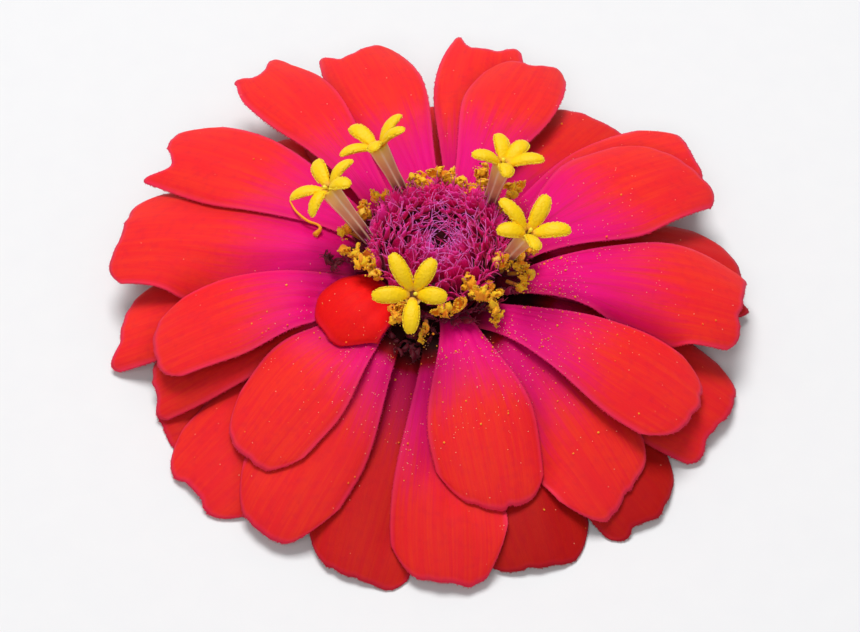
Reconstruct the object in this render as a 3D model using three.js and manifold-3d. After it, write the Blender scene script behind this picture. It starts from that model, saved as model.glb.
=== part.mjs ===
import * as THREE from "three";
import { mergeVertices } from "three/addons/utils/BufferGeometryUtils.js";
import Module from "manifold-3d";

// A zinnia head, picked without its stem and lying face up on its lower petals.
// Millimetres, +Z up. The flower's axis is x = y = 0, and the surface it lies on is z = 0.

const wasm = await Module();
wasm.setup();

const gap = 0.35;
const degree = Math.PI / 180;
const goldenAngle = 137.5;

// The outline of the green cup and the cone in it that carries the flower: radius, height.
const cupProfile = [[0, 0], [2.4, 0], [2.2, 1.5], [3.8, 2.3], [5.6, 3.6], [6.6, 5.2], [6.9, 7]];
const cupRim = { radius: 6.5, height: 7.5 };
const receptacle = { radius: 4.8, top: 11 };
const cupSides = 20;

const bract = { thickness: 0.6, overlap: 1.3, lift: 0.75, tipRoundness: 0.2 };
const bractRows = [
  { count: 6, from: 1.4, to: 3.8, offset: 0.1 },
  { count: 8, from: 2.2, to: 5.1, offset: 0.15 },
  { count: 10, from: 3.4, to: 6.3, offset: 0.2 },
  { count: 11, from: 4.7, to: 7.1, offset: 0.25 },
];

// The ring of tissue round the cone, where every petal is rooted.
const petalRing = { inner: 5.15, outer: 6.9, low: 7.9, high: 10.9, sides: 32 };

const petal = {
  thickness: 0.7, rootRadius: 6, claw: 0.24, opening: 1.05, taper: 0.1, cup: 28, roundness: 0.14,
  bluntness: 4.2, lengthSteps: 6, widthSteps: 4,
};

// Each petal's turn about the axis in degrees, the reach and the height of its tip, its width, how far
// along it is widest, how far its root is shifted sideways, and how far its tip runs on, in millimetres,
// at its left edge, halfway to its middle, at its middle, halfway to its right edge and there.
const whorls = [
  {
    rootHeight: 8.4, rise: -6, petals: [
      [1, 32.4, 1.5, 11, 0.7, 0, [-4, -2, 0.8, -2, -3]],
      [54, 29, 0.8, 12, 0.7, 0, [0, 0, 0, 0, 0]],
      [88, 29.3, 1.4, 11.5, 0.7, 0, [0, 0, 0, 0, 0]],
      [163, 30, 0.8, 12, 0.7, 0, [0, 0, 0, 0, 0]],
      [206, 31.9, 0.8, 11, 0.7, 0, [0.5, 0.2, 0, -0.2, -0.7]],
      [221.2, 33.8, 0.8, 14, 0.7, 0, [0, 0.2, -0.6, 0, -0.2]],
      [254.5, 33.2, 0.8, 12.6, 0.7, 0, [2.8, 0.4, 0, -0.5, -1]],
      [289, 32.6, 0.8, 13, 0.7, 0, [0.6, 0.4, 0, -0.2, 0.6]],
      [312, 33.8, 0.8, 12.2, 0.7, 0, [-0.8, -1.2, -0.3, -0.6, 2.4]],
      [335.5, 33.4, 1.4, 13.8, 0.7, 0, [0.4, -0.3, -0.6, -1.2, 2]],
    ],
  },
  {
    rootHeight: 9.5, rise: 4, petals: [
      [132.5, 28.5, 4, 12, 0.7, 0, [0, 0, 0, 0, 0]],
      [113, 28, 4, 12, 0.7, 0, [0, 0, 0, 0, 0]],
      [9, 32.2, 2.6, 11, 0.7, 0, [0.8, 0.5, 0.8, 0.4, 0]],
      [54, 31.3, 4, 13, 0.7, 0, [-0.9, -0.9, -1, -0.2, 1]],
      [81.2, 35.3, 5, 10, 0.8, -0.8, [7.4, 1, -0.1, 0.5, 5]],
      [272.2, 33, 1.4, 12.2, 0.85, 0, [-1.2, 0.5, 0, 0, 0.3]],
      [237, 32.4, 1.8, 12, 0.7, 0, [-1.2, 0.3, 0.2, -0.2, -0.8]],
      [197.1, 31.4, 2, 10.4, 0.7, 0.6, [3.5, 0.2, -0.1, -0.8, -1]],
      [184.4, 33.8, 2.5, 10.8, 0.7, 0, [4.8, 0.8, -0.3, -0.8, -1.6]],
      [35, 34, 5, 12.6, 0.7, 0, [1.5, 1.2, 0, -0.3, -0.5]],
    ],
  },
  {
    rootHeight: 9.9, rise: 8, petals: [
      [308, 30.4, 2.6, 12, 0.75, 0, [0.3, -0.6, 0, 1, 0.6]],
    ],
  },
  {
    rootHeight: 10.4, rise: 14, petals: [
      [105.5, 33.8, 7, 10.3, 0.76, -1.4, [6.4, 0.3, 0, 1.4, 3.4]],
      [122.8, 34.8, 7, 9.5, 0.9, 1.2, [6.2, 1.3, 1.2, 3.6, 5.4]],
      [167.1, 34.9, 5.5, 14.2, 0.6, 1.5, [2.3, 0.4, -0.1, 0.6, 2.2]],
      [147.5, 35.3, 6.5, 11.2, 0.7, 0.8, [4, -2.2, -0.2, 0.7, 0.5]],
      [71, 31, 7.5, 10.6, 0.8, 0, [3, 2.1, 1.6, 3.2, 5.4]],
      [357.5, 32, 5.5, 12.6, 0.82, -2.2, [4.2, 1.2, 0.2, -0.2, 2.2]],
      [31.2, 32, 6.5, 13, 0.6, -3, [-1.6, -1, -0.4, 0.5, 2.6]],
      [331, 30.2, 4.6, 11.6, 0.8, -3.8, [0.8, 0.3, 0, -0.4, -0.4]],
      [283.3, 26.2, 4.2, 11.4, 0.7, 0, [1.4, 0.6, 0.5, -0.1, -0.6]],
      [225, 27.6, 4.4, 11.2, 0.7, 0.4, [0.2, 0.3, 0.3, 0.3, -0.4]],
      [193, 30.4, 5, 10.2, 0.7, 1.6, [1.2, 0.1, 0, -0.1, 0]],
    ],
  },
  {
    rootHeight: 10.6, rise: 43, claw: 0.7, cup: 50, petals: [
      [218, 14.6, 10.4, 9.4, 0.7, 0, [-1.8, 0, 0, 0, 0]],
    ],
  },
];

// The dome at the middle: first its underside from the axis out, then its top back to the dimple.
const domeUnder = [[0, 11.3], [5.2, 11.3], [6.2, 11.8], [6.8, 12.4]];
const domeTop = [[6.9, 13], [6.4, 13.6], [5.3, 14], [3.6, 14], [2, 13.3], [0, 12.4]];
const domeSides = 20;
const chaff = {
  count: 54, spread: 6.1, wide: 1.6, narrowing: 0.65, thickness: 0.6, sunk: 0.7, low: 1.3, high: 2,
  bend: 0.9, twist: 40, clear: 2,
};

// The open yellow florets: the foot of the tube, its mouth, and the turn of the first lobe about it.
const openFlorets = [
  { foot: [-3.75, 6.9, 13.7], mouth: [-6.3, 9, 18.6], spin: 40 },
  { foot: [-7.55, 1.1, 13.8], mouth: [-11.3, 2.9, 19.3], spin: 10 },
  { foot: [5.35, 5.2, 13.9], mouth: [6.75, 6.2, 19.2], spin: 60 },
  { foot: [7.2, -1.8, 13.9], mouth: [9.1, -2.7, 19], spin: 52 },
  { foot: [-2.4, -7.1, 13.9], mouth: [-2.5, -10.3, 18.9], spin: 48 },
];
const tubeRadius = { foot: 0.6, waist: 0.75, mouth: 1.15 };
const tubeSides = 8;
const lobe = { count: 5, length: 3.9, wide: 1.5, thick: 1.1, spread: 76, inside: 0.35 };

// The withered florets round the dome: turn, radius and height of the crumpled head, its size,
// and how far the crumple is drawn out sideways.
const witheredFlorets = [
  { turn: 164, radius: 10.2, height: 12.9, size: 0.7, drawn: 0.4 },
  { turn: 199, radius: 8.3, height: 13.7, size: 0.95, drawn: 1.1 },
  { turn: 152, radius: 9, height: 13.4, size: 0.85, drawn: 0.3 },
  { turn: 134, radius: 8.4, height: 13.4, size: 0.65, drawn: 0.1 },
  { turn: 103.5, radius: 8.3, height: 13.5, size: 0.75, drawn: 0.4 },
  { turn: 82, radius: 8.7, height: 13.6, size: 0.8, drawn: 0.7 },
  { turn: 61, radius: 9.3, height: 13.8, size: 0.85, drawn: 0.2 },
  { turn: 37, radius: 10.3, height: 13.6, size: 0.75, drawn: 0.5 },
  { turn: 357, radius: 9.1, height: 13.3, size: 0.75, drawn: 0.4 },
  { turn: 334, radius: 8.9, height: 13.2, size: 1, drawn: 0.7 },
  { turn: 312, radius: 9.1, height: 13.2, size: 0.95, drawn: 0.5 },
  { turn: 295, radius: 8.3, height: 14.3, size: 0.8, drawn: 0.3 },
  { turn: 273, radius: 8.7, height: 13.1, size: 0.9, drawn: 0.4 },
  { turn: 244, radius: 9.3, height: 13.2, size: 0.85, drawn: 0.3 },
];

const colours = {
  petal: 0xe8242c, cup: 0x5f7338, chaff: 0x9c1a66, floret: 0xf2b90f, withered: 0xc07a12,
};

// A repeatable draw between 0 and 1 for piece number n.
function draw(n, salt) {
  const value = Math.sin(n * 12.9898 + salt * 78.233) * 43758.5453;
  return value - Math.floor(value);
}

function polar(turn, radius, height) {
  return new THREE.Vector3(radius * Math.cos(turn * degree), radius * Math.sin(turn * degree), height);
}

// The radius of a rising profile at a height, straight between its points.
function radiusAt(profile, height) {
  const above = profile.findIndex(([, z]) => z > height);
  const index = above < 1 ? profile.length - 1 : above;
  const [[r0, z0], [r1, z1]] = [profile[index - 1], profile[index]];
  return r0 + (r1 - r0) * (height - z0) / (z1 - z0);
}

function domeHeight(radius) {
  const index = domeTop.findIndex(([r]) => r < radius);
  const [[r0, z0], [r1, z1]] = [domeTop[index - 1], domeTop[index]];
  return z0 + (z1 - z0) * (radius - r0) / (r1 - r0);
}

function domeNormal(turn, radius) {
  const step = 0.6;
  const fall = (domeHeight(Math.max(radius - step, 0.01)) - domeHeight(radius)) / step;
  return polar(turn, fall, 1).normalize();
}

// A curved blade of even thickness over a grid of points. Both faces are split the same way,
// and a blade that would dip below the surface it lies on is lifted onto it.
function blade(point, lengthSteps, widthSteps, thickness) {
  const row = widthSteps + 1;
  const middle = [];
  for (let i = 0; i <= lengthSteps; i++) {
    for (let j = 0; j <= widthSteps; j++) middle.push(point(i / lengthSteps, 2 * j / widthSteps - 1));
  }
  const clamp = THREE.MathUtils.clamp;
  const at = (i, j) => middle[clamp(i, 0, lengthSteps) * row + clamp(j, 0, widthSteps)];
  const top = [];
  const bottom = [];
  for (let i = 0; i <= lengthSteps; i++) {
    for (let j = 0; j <= widthSteps; j++) {
      const along = at(i + 1, j).clone().sub(at(i - 1, j));
      const across = at(i, j + 1).clone().sub(at(i, j - 1));
      const half = along.cross(across).normalize().multiplyScalar(thickness / 2);
      const lift = new THREE.Vector3(0, 0, Math.max(half.z - at(i, j).z, 0));
      top.push(at(i, j).clone().add(half).add(lift));
      bottom.push(at(i, j).clone().sub(half).add(lift));
    }
  }
  const count = top.length;
  const faces = [];
  const quad = (a, b, c, d) => faces.push(a, b, c, a, c, d);
  for (let i = 0; i < lengthSteps; i++) {
    for (let j = 0; j < widthSteps; j++) {
      const [a, b, c, d] = [i * row + j, (i + 1) * row + j, (i + 1) * row + j + 1, i * row + j + 1];
      quad(a, b, c, d);
      quad(count + a, count + d, count + c, count + b);
    }
  }
  const rim = [];
  for (let i = 0; i < lengthSteps; i++) rim.push(i * row);
  for (let j = 0; j < widthSteps; j++) rim.push(lengthSteps * row + j);
  for (let i = lengthSteps; i > 0; i--) rim.push(i * row + widthSteps);
  for (let j = widthSteps; j > 0; j--) rim.push(j);
  rim.forEach((a, k) => {
    const b = rim[(k + 1) % rim.length];
    quad(a, count + a, count + b, b);
  });
  const positions = [...top, ...bottom].flatMap((corner) => corner.toArray());
  const geometry = new THREE.BufferGeometry();
  geometry.setAttribute("position", new THREE.Float32BufferAttribute(positions, 3));
  geometry.setIndex(faces);
  return geometry;
}

function toSolid(geometry) {
  const bare = geometry.clone();
  bare.deleteAttribute("normal");
  bare.deleteAttribute("uv");
  const merged = mergeVertices(bare, 1e-4);
  return new wasm.Manifold(new wasm.Mesh({
    numProp: 3,
    vertProperties: new Float32Array(merged.attributes.position.array),
    triVerts: new Uint32Array(merged.index.array),
  }));
}

// Joins solids into one body, fills any sealed hollow and drops loose scraps.
function fuse(solids) {
  const whole = wasm.Manifold.union(solids);
  const bodies = whole.decompose().sort((a, b) => b.volume() - a.volume());
  const { vertProperties, triVerts } = bodies[0].simplify(0.05).getMesh();
  const geometry = new THREE.BufferGeometry();
  geometry.setAttribute("position", new THREE.Float32BufferAttribute(vertProperties, 3));
  geometry.setIndex([...triVerts]);
  return geometry;
}

// A solid of revolution about Z from radius and height pairs, listed so that its faces point out.
function turned(profile, sides) {
  const points = profile.map(([r, z]) => new THREE.Vector2(r, z));
  return new THREE.LatheGeometry(points, sides).rotateX(Math.PI / 2);
}

function makeMesh(name, geometry, color, roughness) {
  geometry.computeVertexNormals();
  const material = new THREE.MeshStandardMaterial({ color, roughness, metalness: 0, flatShading: true });
  const mesh = new THREE.Mesh(geometry, material);
  mesh.name = name;
  return mesh;
}

function bractBlade(row, index) {
  const turn = (index + 0.5 * (row.from % 2)) * 360 / row.count;
  const halfTurn = 180 / row.count * bract.overlap;
  return blade((u, v) => {
    const s = u * (1 - bract.tipRoundness * v * v);
    const height = row.from + (row.to - row.from) * s;
    const width = 0.75 + 0.25 * Math.sin(Math.PI * Math.min(s * 1.2, 1)) - 0.35 * s ** 4;
    const radius = radiusAt(cupProfile, height) + row.offset + bract.lift * s;
    return polar(turn - v * halfTurn * width, radius, height);
  }, 2, 2, bract.thickness);
}

function makeInvolucre() {
  const profile = [
    ...cupProfile, [cupRim.radius, cupRim.height], [receptacle.radius, cupRim.height],
    [receptacle.radius, receptacle.top], [0, receptacle.top],
  ];
  const pieces = [toSolid(turned(profile, cupSides))];
  for (const row of bractRows) {
    for (let index = 0; index < row.count; index++) pieces.push(toSolid(bractBlade(row, index)));
  }
  return makeMesh("involucre", fuse(pieces), colours.cup, 0.7);
}

// The middle surface of one petal: u runs from root to tip, v from the right edge to the left.
function petalPoint(whorl, shape, u, v) {
  const [turn, reach, tipHeight, wide, widest, shift, line] = shape;
  const root = polar(turn, petal.rootRadius, whorl.rootHeight);
  const tip = polar(turn, reach, tipHeight);
  const span = reach - petal.rootRadius;
  const crest = polar(turn, petal.rootRadius + span / 2, 0);
  crest.z = whorl.rootHeight + Math.tan(whorl.rise * degree) * span / 2;
  const aside = polar(turn + 90, shift, 0);
  root.add(aside);
  crest.addScaledVector(aside, 0.5);
  const runOn = line[Math.round((1 - v) / 2 * (line.length - 1))] / span;
  const s = u * (1 - petal.roundness * Math.abs(v) ** petal.bluntness + runOn);
  const claw = whorl.claw ?? petal.claw;
  const share = Math.min(s / widest, 1) ** petal.opening;
  const opened = claw + (1 - claw) * share * share * (3 - 2 * share);
  const past = THREE.MathUtils.clamp((s - widest) / (1 - widest), 0, 1.5);
  const half = wide / 2 * opened * (1 - petal.taper * past * past);
  const curve = new THREE.QuadraticBezierCurve3(root, crest, tip);
  const centre = curve.getPoint(s);
  const along = crest.clone().sub(root).lerp(tip.clone().sub(crest), s).normalize();
  const side = new THREE.Vector3(-along.y, along.x, 0).normalize();
  const up = along.clone().cross(side);
  const bend = (whorl.cup ?? petal.cup) * degree * (0.35 + 0.65 * s);
  centre.addScaledVector(side, half * v * (1 - (bend * v) ** 2 / 6));
  centre.addScaledVector(up, -half * bend * v * v / 2);
  return centre;
}

function makePetals() {
  const ring = [
    [petalRing.inner, petalRing.low], [petalRing.outer, petalRing.low], [petalRing.outer, petalRing.high],
    [petalRing.inner, petalRing.high], [petalRing.inner, petalRing.low],
  ];
  const pieces = [toSolid(turned(ring, petalRing.sides))];
  for (const whorl of whorls) {
    for (const shape of whorl.petals) {
      const point = (u, v) => petalPoint(whorl, shape, u, v);
      pieces.push(toSolid(blade(point, petal.lengthSteps, petal.widthSteps, petal.thickness)));
    }
  }
  return makeMesh("ray_petals", fuse(pieces), colours.petal, 0.55);
}

// One chaff scale: a narrow blade that stands out of the dome and bends in at its tip.
function chaffBlade(index) {
  const radius = chaff.spread * Math.sqrt((index + 0.5) / chaff.count);
  const turn = index * goldenAngle;
  const foot = polar(turn, radius, domeHeight(radius));
  const near = openFlorets.some((floret) => foot.distanceTo(new THREE.Vector3(...floret.foot)) < chaff.clear);
  if (near) return null;
  const out = domeNormal(turn, radius);
  const side = polar(turn + 90 + chaff.twist * (draw(index, 1) - 0.5), 1, 0);
  const inward = polar(turn + 180, 1, 0);
  const height = chaff.low + (chaff.high - chaff.low) * draw(index, 2);
  return blade((u, v) => {
    const point = foot.clone().addScaledVector(out, -chaff.sunk + u * (chaff.sunk + height));
    point.addScaledVector(inward, chaff.bend * u * u);
    return point.addScaledVector(side, -v * chaff.wide / 2 * (1 - chaff.narrowing * u * u));
  }, 2, 1, chaff.thickness);
}

function makeDome() {
  const pieces = [toSolid(turned([...domeUnder, ...domeTop], domeSides))];
  for (let index = 0; index < chaff.count; index++) {
    const scale = chaffBlade(index);
    if (scale) pieces.push(toSolid(scale));
  }
  return makeMesh("chaff_dome", fuse(pieces), colours.chaff, 0.8);
}

// Turns a shape that is drawn along +Z so that it runs along a direction, and moves it to a point.
function aim(geometry, direction, origin) {
  const turn = new THREE.Quaternion().setFromUnitVectors(new THREE.Vector3(0, 0, 1), direction);
  return geometry.applyQuaternion(turn).translate(origin.x, origin.y, origin.z);
}

function makeOpenFloret(shape, index) {
  const foot = new THREE.Vector3(...shape.foot);
  const mouth = new THREE.Vector3(...shape.mouth);
  const axis = mouth.clone().sub(foot).normalize();
  const length = mouth.distanceTo(foot);
  const profile = [
    [0, -tubeRadius.foot], [tubeRadius.foot * 0.8, -tubeRadius.foot * 0.6], [tubeRadius.waist, 0.6],
    [tubeRadius.waist, length * 0.5], [tubeRadius.mouth, length * 0.9], [tubeRadius.mouth, length],
    [0, length],
  ];
  const pieces = [toSolid(aim(turned(profile, tubeSides), axis, foot))];
  const side = new THREE.Vector3(-axis.y, axis.x, 0).normalize();
  const fore = axis.clone().cross(side);
  for (let k = 0; k < lobe.count; k++) {
    const angle = (shape.spin + k * 360 / lobe.count) * degree;
    const away = side.clone().multiplyScalar(Math.cos(angle)).addScaledVector(fore, Math.sin(angle));
    const lean = lobe.spread * degree;
    const direction = axis.clone().multiplyScalar(Math.cos(lean)).addScaledVector(away, Math.sin(lean));
    const egg = new THREE.SphereGeometry(0.5, 7, 4).rotateX(Math.PI / 2);
    egg.scale(lobe.thick, lobe.wide, lobe.length);
    const centre = mouth.clone().addScaledVector(direction, lobe.length / 2 + lobe.inside);
    const across = axis.clone().cross(away);
    const frame = new THREE.Matrix4().makeBasis(across.clone().cross(direction), across, direction);
    egg.applyMatrix4(frame.setPosition(centre));
    pieces.push(toSolid(egg));
  }
  return makeMesh(`disc_floret_${index + 1}`, fuse(pieces), colours.floret, 0.6);
}

// A withered floret: a short stalk from the dome's flank and a crumpled head of a few lumps.
function makeWitheredFloret(shape, index) {
  const head = polar(shape.turn, shape.radius, shape.height);
  const rim = domeTop[0];
  const flank = polar(shape.turn, rim[0] + gap, rim[1]);
  const side = polar(shape.turn + 90, 1, 0);
  const outward = polar(shape.turn, 1, 0);
  const stalk = new THREE.CylinderGeometry(0.35, 0.45, head.distanceTo(flank), 6).rotateX(Math.PI / 2);
  const direction = head.clone().sub(flank).normalize();
  const pieces = [toSolid(aim(stalk, direction, head.clone().add(flank).multiplyScalar(0.5)))];
  const lumps = 4;
  for (let k = 0; k < lumps; k++) {
    const share = k / (lumps - 1) - 0.5;
    const size = shape.size * (0.75 + 0.25 * draw(index, k));
    const lump = new THREE.IcosahedronGeometry(size, 0).rotateZ(draw(index, k + 9) * Math.PI);
    const centre = head.clone().addScaledVector(side, 2 * share * (shape.drawn + 0.3));
    centre.addScaledVector(outward, 0.25 * (draw(index, k + 5) - 0.5));
    centre.z += 0.9 * (draw(index, k + 3) - 0.4);
    pieces.push(toSolid(lump.translate(centre.x, centre.y, centre.z)));
  }
  return makeMesh(`withered_floret_${index + 1}`, fuse(pieces), colours.withered, 0.85);
}

const flower = new THREE.Group();
flower.add(makeInvolucre(), makePetals(), makeDome());
openFlorets.forEach((shape, index) => flower.add(makeOpenFloret(shape, index)));
witheredFlorets.forEach((shape, index) => flower.add(makeWitheredFloret(shape, index)));

export default flower;
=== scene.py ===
import math

import bpy
import numpy as np
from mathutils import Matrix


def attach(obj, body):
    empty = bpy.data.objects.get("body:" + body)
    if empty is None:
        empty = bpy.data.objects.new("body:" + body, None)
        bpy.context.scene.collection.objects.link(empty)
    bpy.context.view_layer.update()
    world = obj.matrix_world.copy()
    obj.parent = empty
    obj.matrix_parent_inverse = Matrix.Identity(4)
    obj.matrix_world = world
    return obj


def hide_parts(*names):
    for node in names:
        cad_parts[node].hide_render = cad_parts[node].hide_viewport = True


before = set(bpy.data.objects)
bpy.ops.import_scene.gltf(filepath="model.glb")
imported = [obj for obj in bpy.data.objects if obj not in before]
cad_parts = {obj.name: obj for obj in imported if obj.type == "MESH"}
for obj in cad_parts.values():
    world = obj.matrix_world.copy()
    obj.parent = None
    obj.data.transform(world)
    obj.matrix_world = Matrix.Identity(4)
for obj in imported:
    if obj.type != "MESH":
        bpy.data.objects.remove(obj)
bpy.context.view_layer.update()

# A picked zinnia head, lying face up. Shapes are worked out in millimetres and put into meshes in metres.
mm = 0.001
goldenAngle = 137.5


# Helpers for points: arrays whose last axis is x, y, z

def unit(vectors):
    return vectors / np.maximum(np.linalg.norm(vectors, axis=-1, keepdims=True), 1e-9)


def polar(turn, radius, height):  # turn in degrees about the flower's axis
    turn, radius, height = np.broadcast_arrays(np.radians(turn), radius, height)
    return np.stack([radius * np.cos(turn), radius * np.sin(turn), height], axis=-1)


def squareTo(axis, vectors):  # what is left of the vectors square to an axis, with length 1
    return unit(vectors - axis * np.sum(vectors * axis, axis=-1, keepdims=True))


def smoothStep(value, low, high):
    share = np.clip((value - low) / (high - low), 0, 1)
    return share * share * (3 - 2 * share)


def bell(value, centre, width):
    return np.exp(-((value - centre) / width) ** 2)


def bowed(t, start, crest, end):  # a quadratic Bezier curve: (1-t)^2 start + 2t(1-t) crest + t^2 end
    return (1 - t) ** 2 * start + 2 * t * (1 - t) * crest + t * t * end


def triple(first, second, third):  # three arrays or numbers as one list of vectors
    return np.stack(np.broadcast_arrays(first, second, third), axis=-1).reshape(-1, 3)


def runOf(line):  # how far along a line each of its points lies
    return np.concatenate([[0], np.cumsum(np.linalg.norm(np.diff(line, axis=0), axis=1))])


def readAt(spots, marks, values):  # each column of values, known at the marks, worked out at the spots
    return np.stack([np.interp(spots, marks, values[:, k]) for k in range(values.shape[1])], axis=-1)


def resampled(line, count):  # points evenly along a line of straight pieces
    line = np.array(line, float)
    run = runOf(line)
    return readAt(np.linspace(0, run[-1], count), run, line)


def normals(sheet):  # of a grid of points
    return unit(np.cross(np.gradient(sheet, axis=0), np.gradient(sheet, axis=1)))


# Helpers for meshes: each gives points, a list of face arrays and, for each point, its item number

def gridFaces(rows, columns, start=0):
    corner = (np.arange(rows - 1)[:, None] * columns + np.arange(columns - 1)[None, :] + start).ravel()
    return np.stack([corner, corner + columns, corner + columns + 1, corner + 1], axis=1)


def copies(faces, count, step):  # the same faces for each of several items
    return (faces[None] + (np.arange(count) * step)[:, None, None]).reshape(-1, faces.shape[1])


def shells(top, bottom):
    # Closed shells from grids of shape items x rows x columns x 3: the top faces the way along x across,
    # the bottom the other way, and a strip of faces runs round the rim.
    items, rows, columns = top.shape[:3]
    size = rows * columns
    upper = gridFaces(rows, columns)
    lower = gridFaces(rows, columns, size)[:, ::-1]
    index = np.arange(size).reshape(rows, columns)
    rim = np.concatenate([index[:-1, 0], index[-1, :-1], index[:0:-1, -1], index[0, :0:-1]])
    after = np.roll(rim, -1)
    strip = np.stack([rim, rim + size, after + size, after], axis=1)
    points = np.stack([top, bottom], axis=1).reshape(-1, 3)
    faces = copies(np.concatenate([upper, lower, strip]), items, 2 * size)
    return points, [faces], np.repeat(np.arange(items), 2 * size)


def thickened(sheet, skin):  # one closed shell round a sheet, with its two faces a skin away from it
    points, faces, _ = shells((sheet + skin)[None], (sheet - skin)[None])
    return points, faces


def ringFaces(rows, sides):
    # Walls between rings of points, and a fan of triangles at both ends, to the two points after the rings.
    corner = np.arange(rows * sides).reshape(rows, sides)
    beside = np.roll(corner, -1, axis=1)
    walls = np.stack([corner[:-1], beside[:-1], beside[1:], corner[1:]], axis=-1).reshape(-1, 4)
    first = np.full(sides, corner.size)
    under = np.stack([first, beside[0], corner[0]], axis=1)
    over = np.stack([first + 1, corner[-1], beside[-1]], axis=1)
    return [walls, np.concatenate([under, over])]


def ringed(rings, ends):  # one closed surface over rings of points, with a point that closes each end
    return np.concatenate([rings.reshape(-1, 3), ends]), ringFaces(*rings.shape[:2])


def revolved(profile, sides):  # radius and height pairs, from the axis back to it, turned round the axis
    rings = polar(np.arange(sides) * 360 / sides, profile[1:-1, 0:1], profile[1:-1, 1:2])
    return ringed(rings, polar(0, 0, profile[[0, -1], 1]))


def tubes(paths, radii, sides=3, lean=None):
    # Closed tubes along paths of shape items x steps x 3: a ring of points round each step, in a frame that
    # a fixed direction gives.
    items, steps = paths.shape[:2]
    ahead = unit(np.gradient(paths, axis=1))
    if lean is None:
        middle = unit(paths[:, -1] - paths[:, 0])
        lean = np.where(np.abs(middle[:, 2:3]) < 0.8, [[0.0, 0.0, 1.0]], [[1.0, 0.0, 0.0]])
    side = unit(np.cross(ahead, lean[:, None, :]))
    up = np.cross(ahead, side)
    angle = 2 * np.pi * np.arange(sides) / sides
    ring = side[:, :, None] * np.cos(angle)[:, None] + up[:, :, None] * np.sin(angle)[:, None]
    radii = np.broadcast_to(radii, (items, steps))
    around = paths[:, :, None] + radii[:, :, None, None] * ring
    points = np.concatenate([around.reshape(items, -1, 3), paths[:, [0, -1]]], axis=1)
    step = steps * sides + 2
    faces = [copies(part, items, step) for part in ringFaces(steps, sides)]
    return points.reshape(-1, 3), faces, np.repeat(np.arange(items), step)


def grains(centres, radii, random, roughness=0.25):
    # Small twenty-sided grains, each with its corners moved in and out at random.
    golden = (1 + 5 ** 0.5) / 2
    signs = [(a, b * golden) for a in (-1, 1) for b in (-1, 1)]
    corners = [(0, a, b) for a, b in signs] + [(a, b, 0) for a, b in signs] + [(b, 0, a) for a, b in signs]
    corners = unit(np.array(corners, float))
    near = np.linalg.norm(corners[:, None] - corners[None], axis=-1)
    edge = (near > 0.1) & (near < 1.2)
    faces = [(a, b, c) for a in range(12) for b in range(a + 1, 12) for c in range(b + 1, 12)
             if edge[a, b] and edge[b, c] and edge[a, c]]
    faces = [(a, b, c) if np.linalg.det(corners[[a, b, c]]) > 0 else (a, c, b) for a, b, c in faces]
    count = len(centres)
    size = radii[:, None, None] * (1 + roughness * random.uniform(-1, 1, (count, 12, 1)))
    turn = random.uniform(0, 2 * np.pi, count)
    cos, sin = np.cos(turn)[:, None], np.sin(turn)[:, None]
    x, y = corners[:, 0] * cos - corners[:, 1] * sin, corners[:, 0] * sin + corners[:, 1] * cos
    shape = np.stack([x, y, np.broadcast_to(corners[:, 2], x.shape)], axis=-1)
    points = (centres[:, None] + size * shape).reshape(-1, 3)
    return points, [copies(np.array(faces), count, 12)], np.repeat(np.arange(count), 12)


def placed(name, data):  # a new object in the scene
    thing = bpy.data.objects.new(name, data)
    bpy.context.scene.collection.objects.link(thing)
    return thing


def makePiece(name, parts, finish, nodes):
    # One mesh object from several (points, faces, place, trait) sets: smooth faces, and the vectors "place"
    # and "trait" on each point, for its material.
    starts = np.cumsum([0] + [len(part[0]) for part in parts])
    faces = [face + start for part, start in zip(parts, starts) for face in part[1]]
    points, place, trait = (np.concatenate([np.broadcast_to(part[k], part[0].shape) for part in parts])
                            for k in (0, 2, 3))
    sizes = np.concatenate([np.full(len(face), face.shape[1]) for face in faces])
    corners = np.concatenate([face.ravel() for face in faces])
    mesh = bpy.data.meshes.new(name)
    mesh.vertices.add(len(points))
    mesh.vertices.foreach_set("co", (points * mm).astype(np.float32).ravel())
    mesh.loops.add(len(corners))
    mesh.loops.foreach_set("vertex_index", corners.astype(np.int32))
    mesh.polygons.add(len(sizes))
    mesh.polygons.foreach_set("loop_start", (np.cumsum(sizes) - sizes).astype(np.int32))
    mesh.update(calc_edges=True)
    mesh.shade_smooth()
    for label, values in (("place", place), ("trait", trait)):
        attribute = mesh.attributes.new(label, "FLOAT_VECTOR", "POINT")
        attribute.data.foreach_set("vector", values.astype(np.float32).ravel())
    mesh.materials.append(finish)
    piece = placed(name, mesh)
    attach(piece, "root")
    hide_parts(*nodes)
    print(name, "has", int((sizes - 2).sum()), "triangles")


# Materials

def paint(red, green, blue):  # a screen colour from 0 to 255, as the linear colour that nodes take
    parts = [part / 255 for part in (red, green, blue)]
    linear = [part / 12.92 if part < 0.04 else ((part + 0.055) / 1.055) ** 2.4 for part in parts]
    return (*linear, 1.0)


class Wire:
    # A node's output with arithmetic on it: each operator adds a Math node.
    def __init__(self, finish, socket):
        self.finish, self.socket = finish, socket

    def maths(self, operation, first, second=0.0):
        return self.finish.node("ShaderNodeMath", {"operation": operation}, {0: first, 1: second})

    def __add__(self, other):
        return self.maths("ADD", self, other)

    def __sub__(self, other):
        return self.maths("SUBTRACT", self, other)

    def __rsub__(self, other):
        return self.maths("SUBTRACT", other, self)

    def __mul__(self, other):
        return self.maths("MULTIPLY", self, other)

    def __abs__(self):
        return self.maths("ABSOLUTE", self)

    __radd__ = __add__
    __rmul__ = __mul__

    def band(self, low, high):  # 0 below low, 1 above high, smooth between
        values = {"Value": self, "From Min": low, "From Max": high}
        return self.finish.node("ShaderNodeMapRange", {"interpolation_type": "SMOOTHSTEP"}, values)


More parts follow.
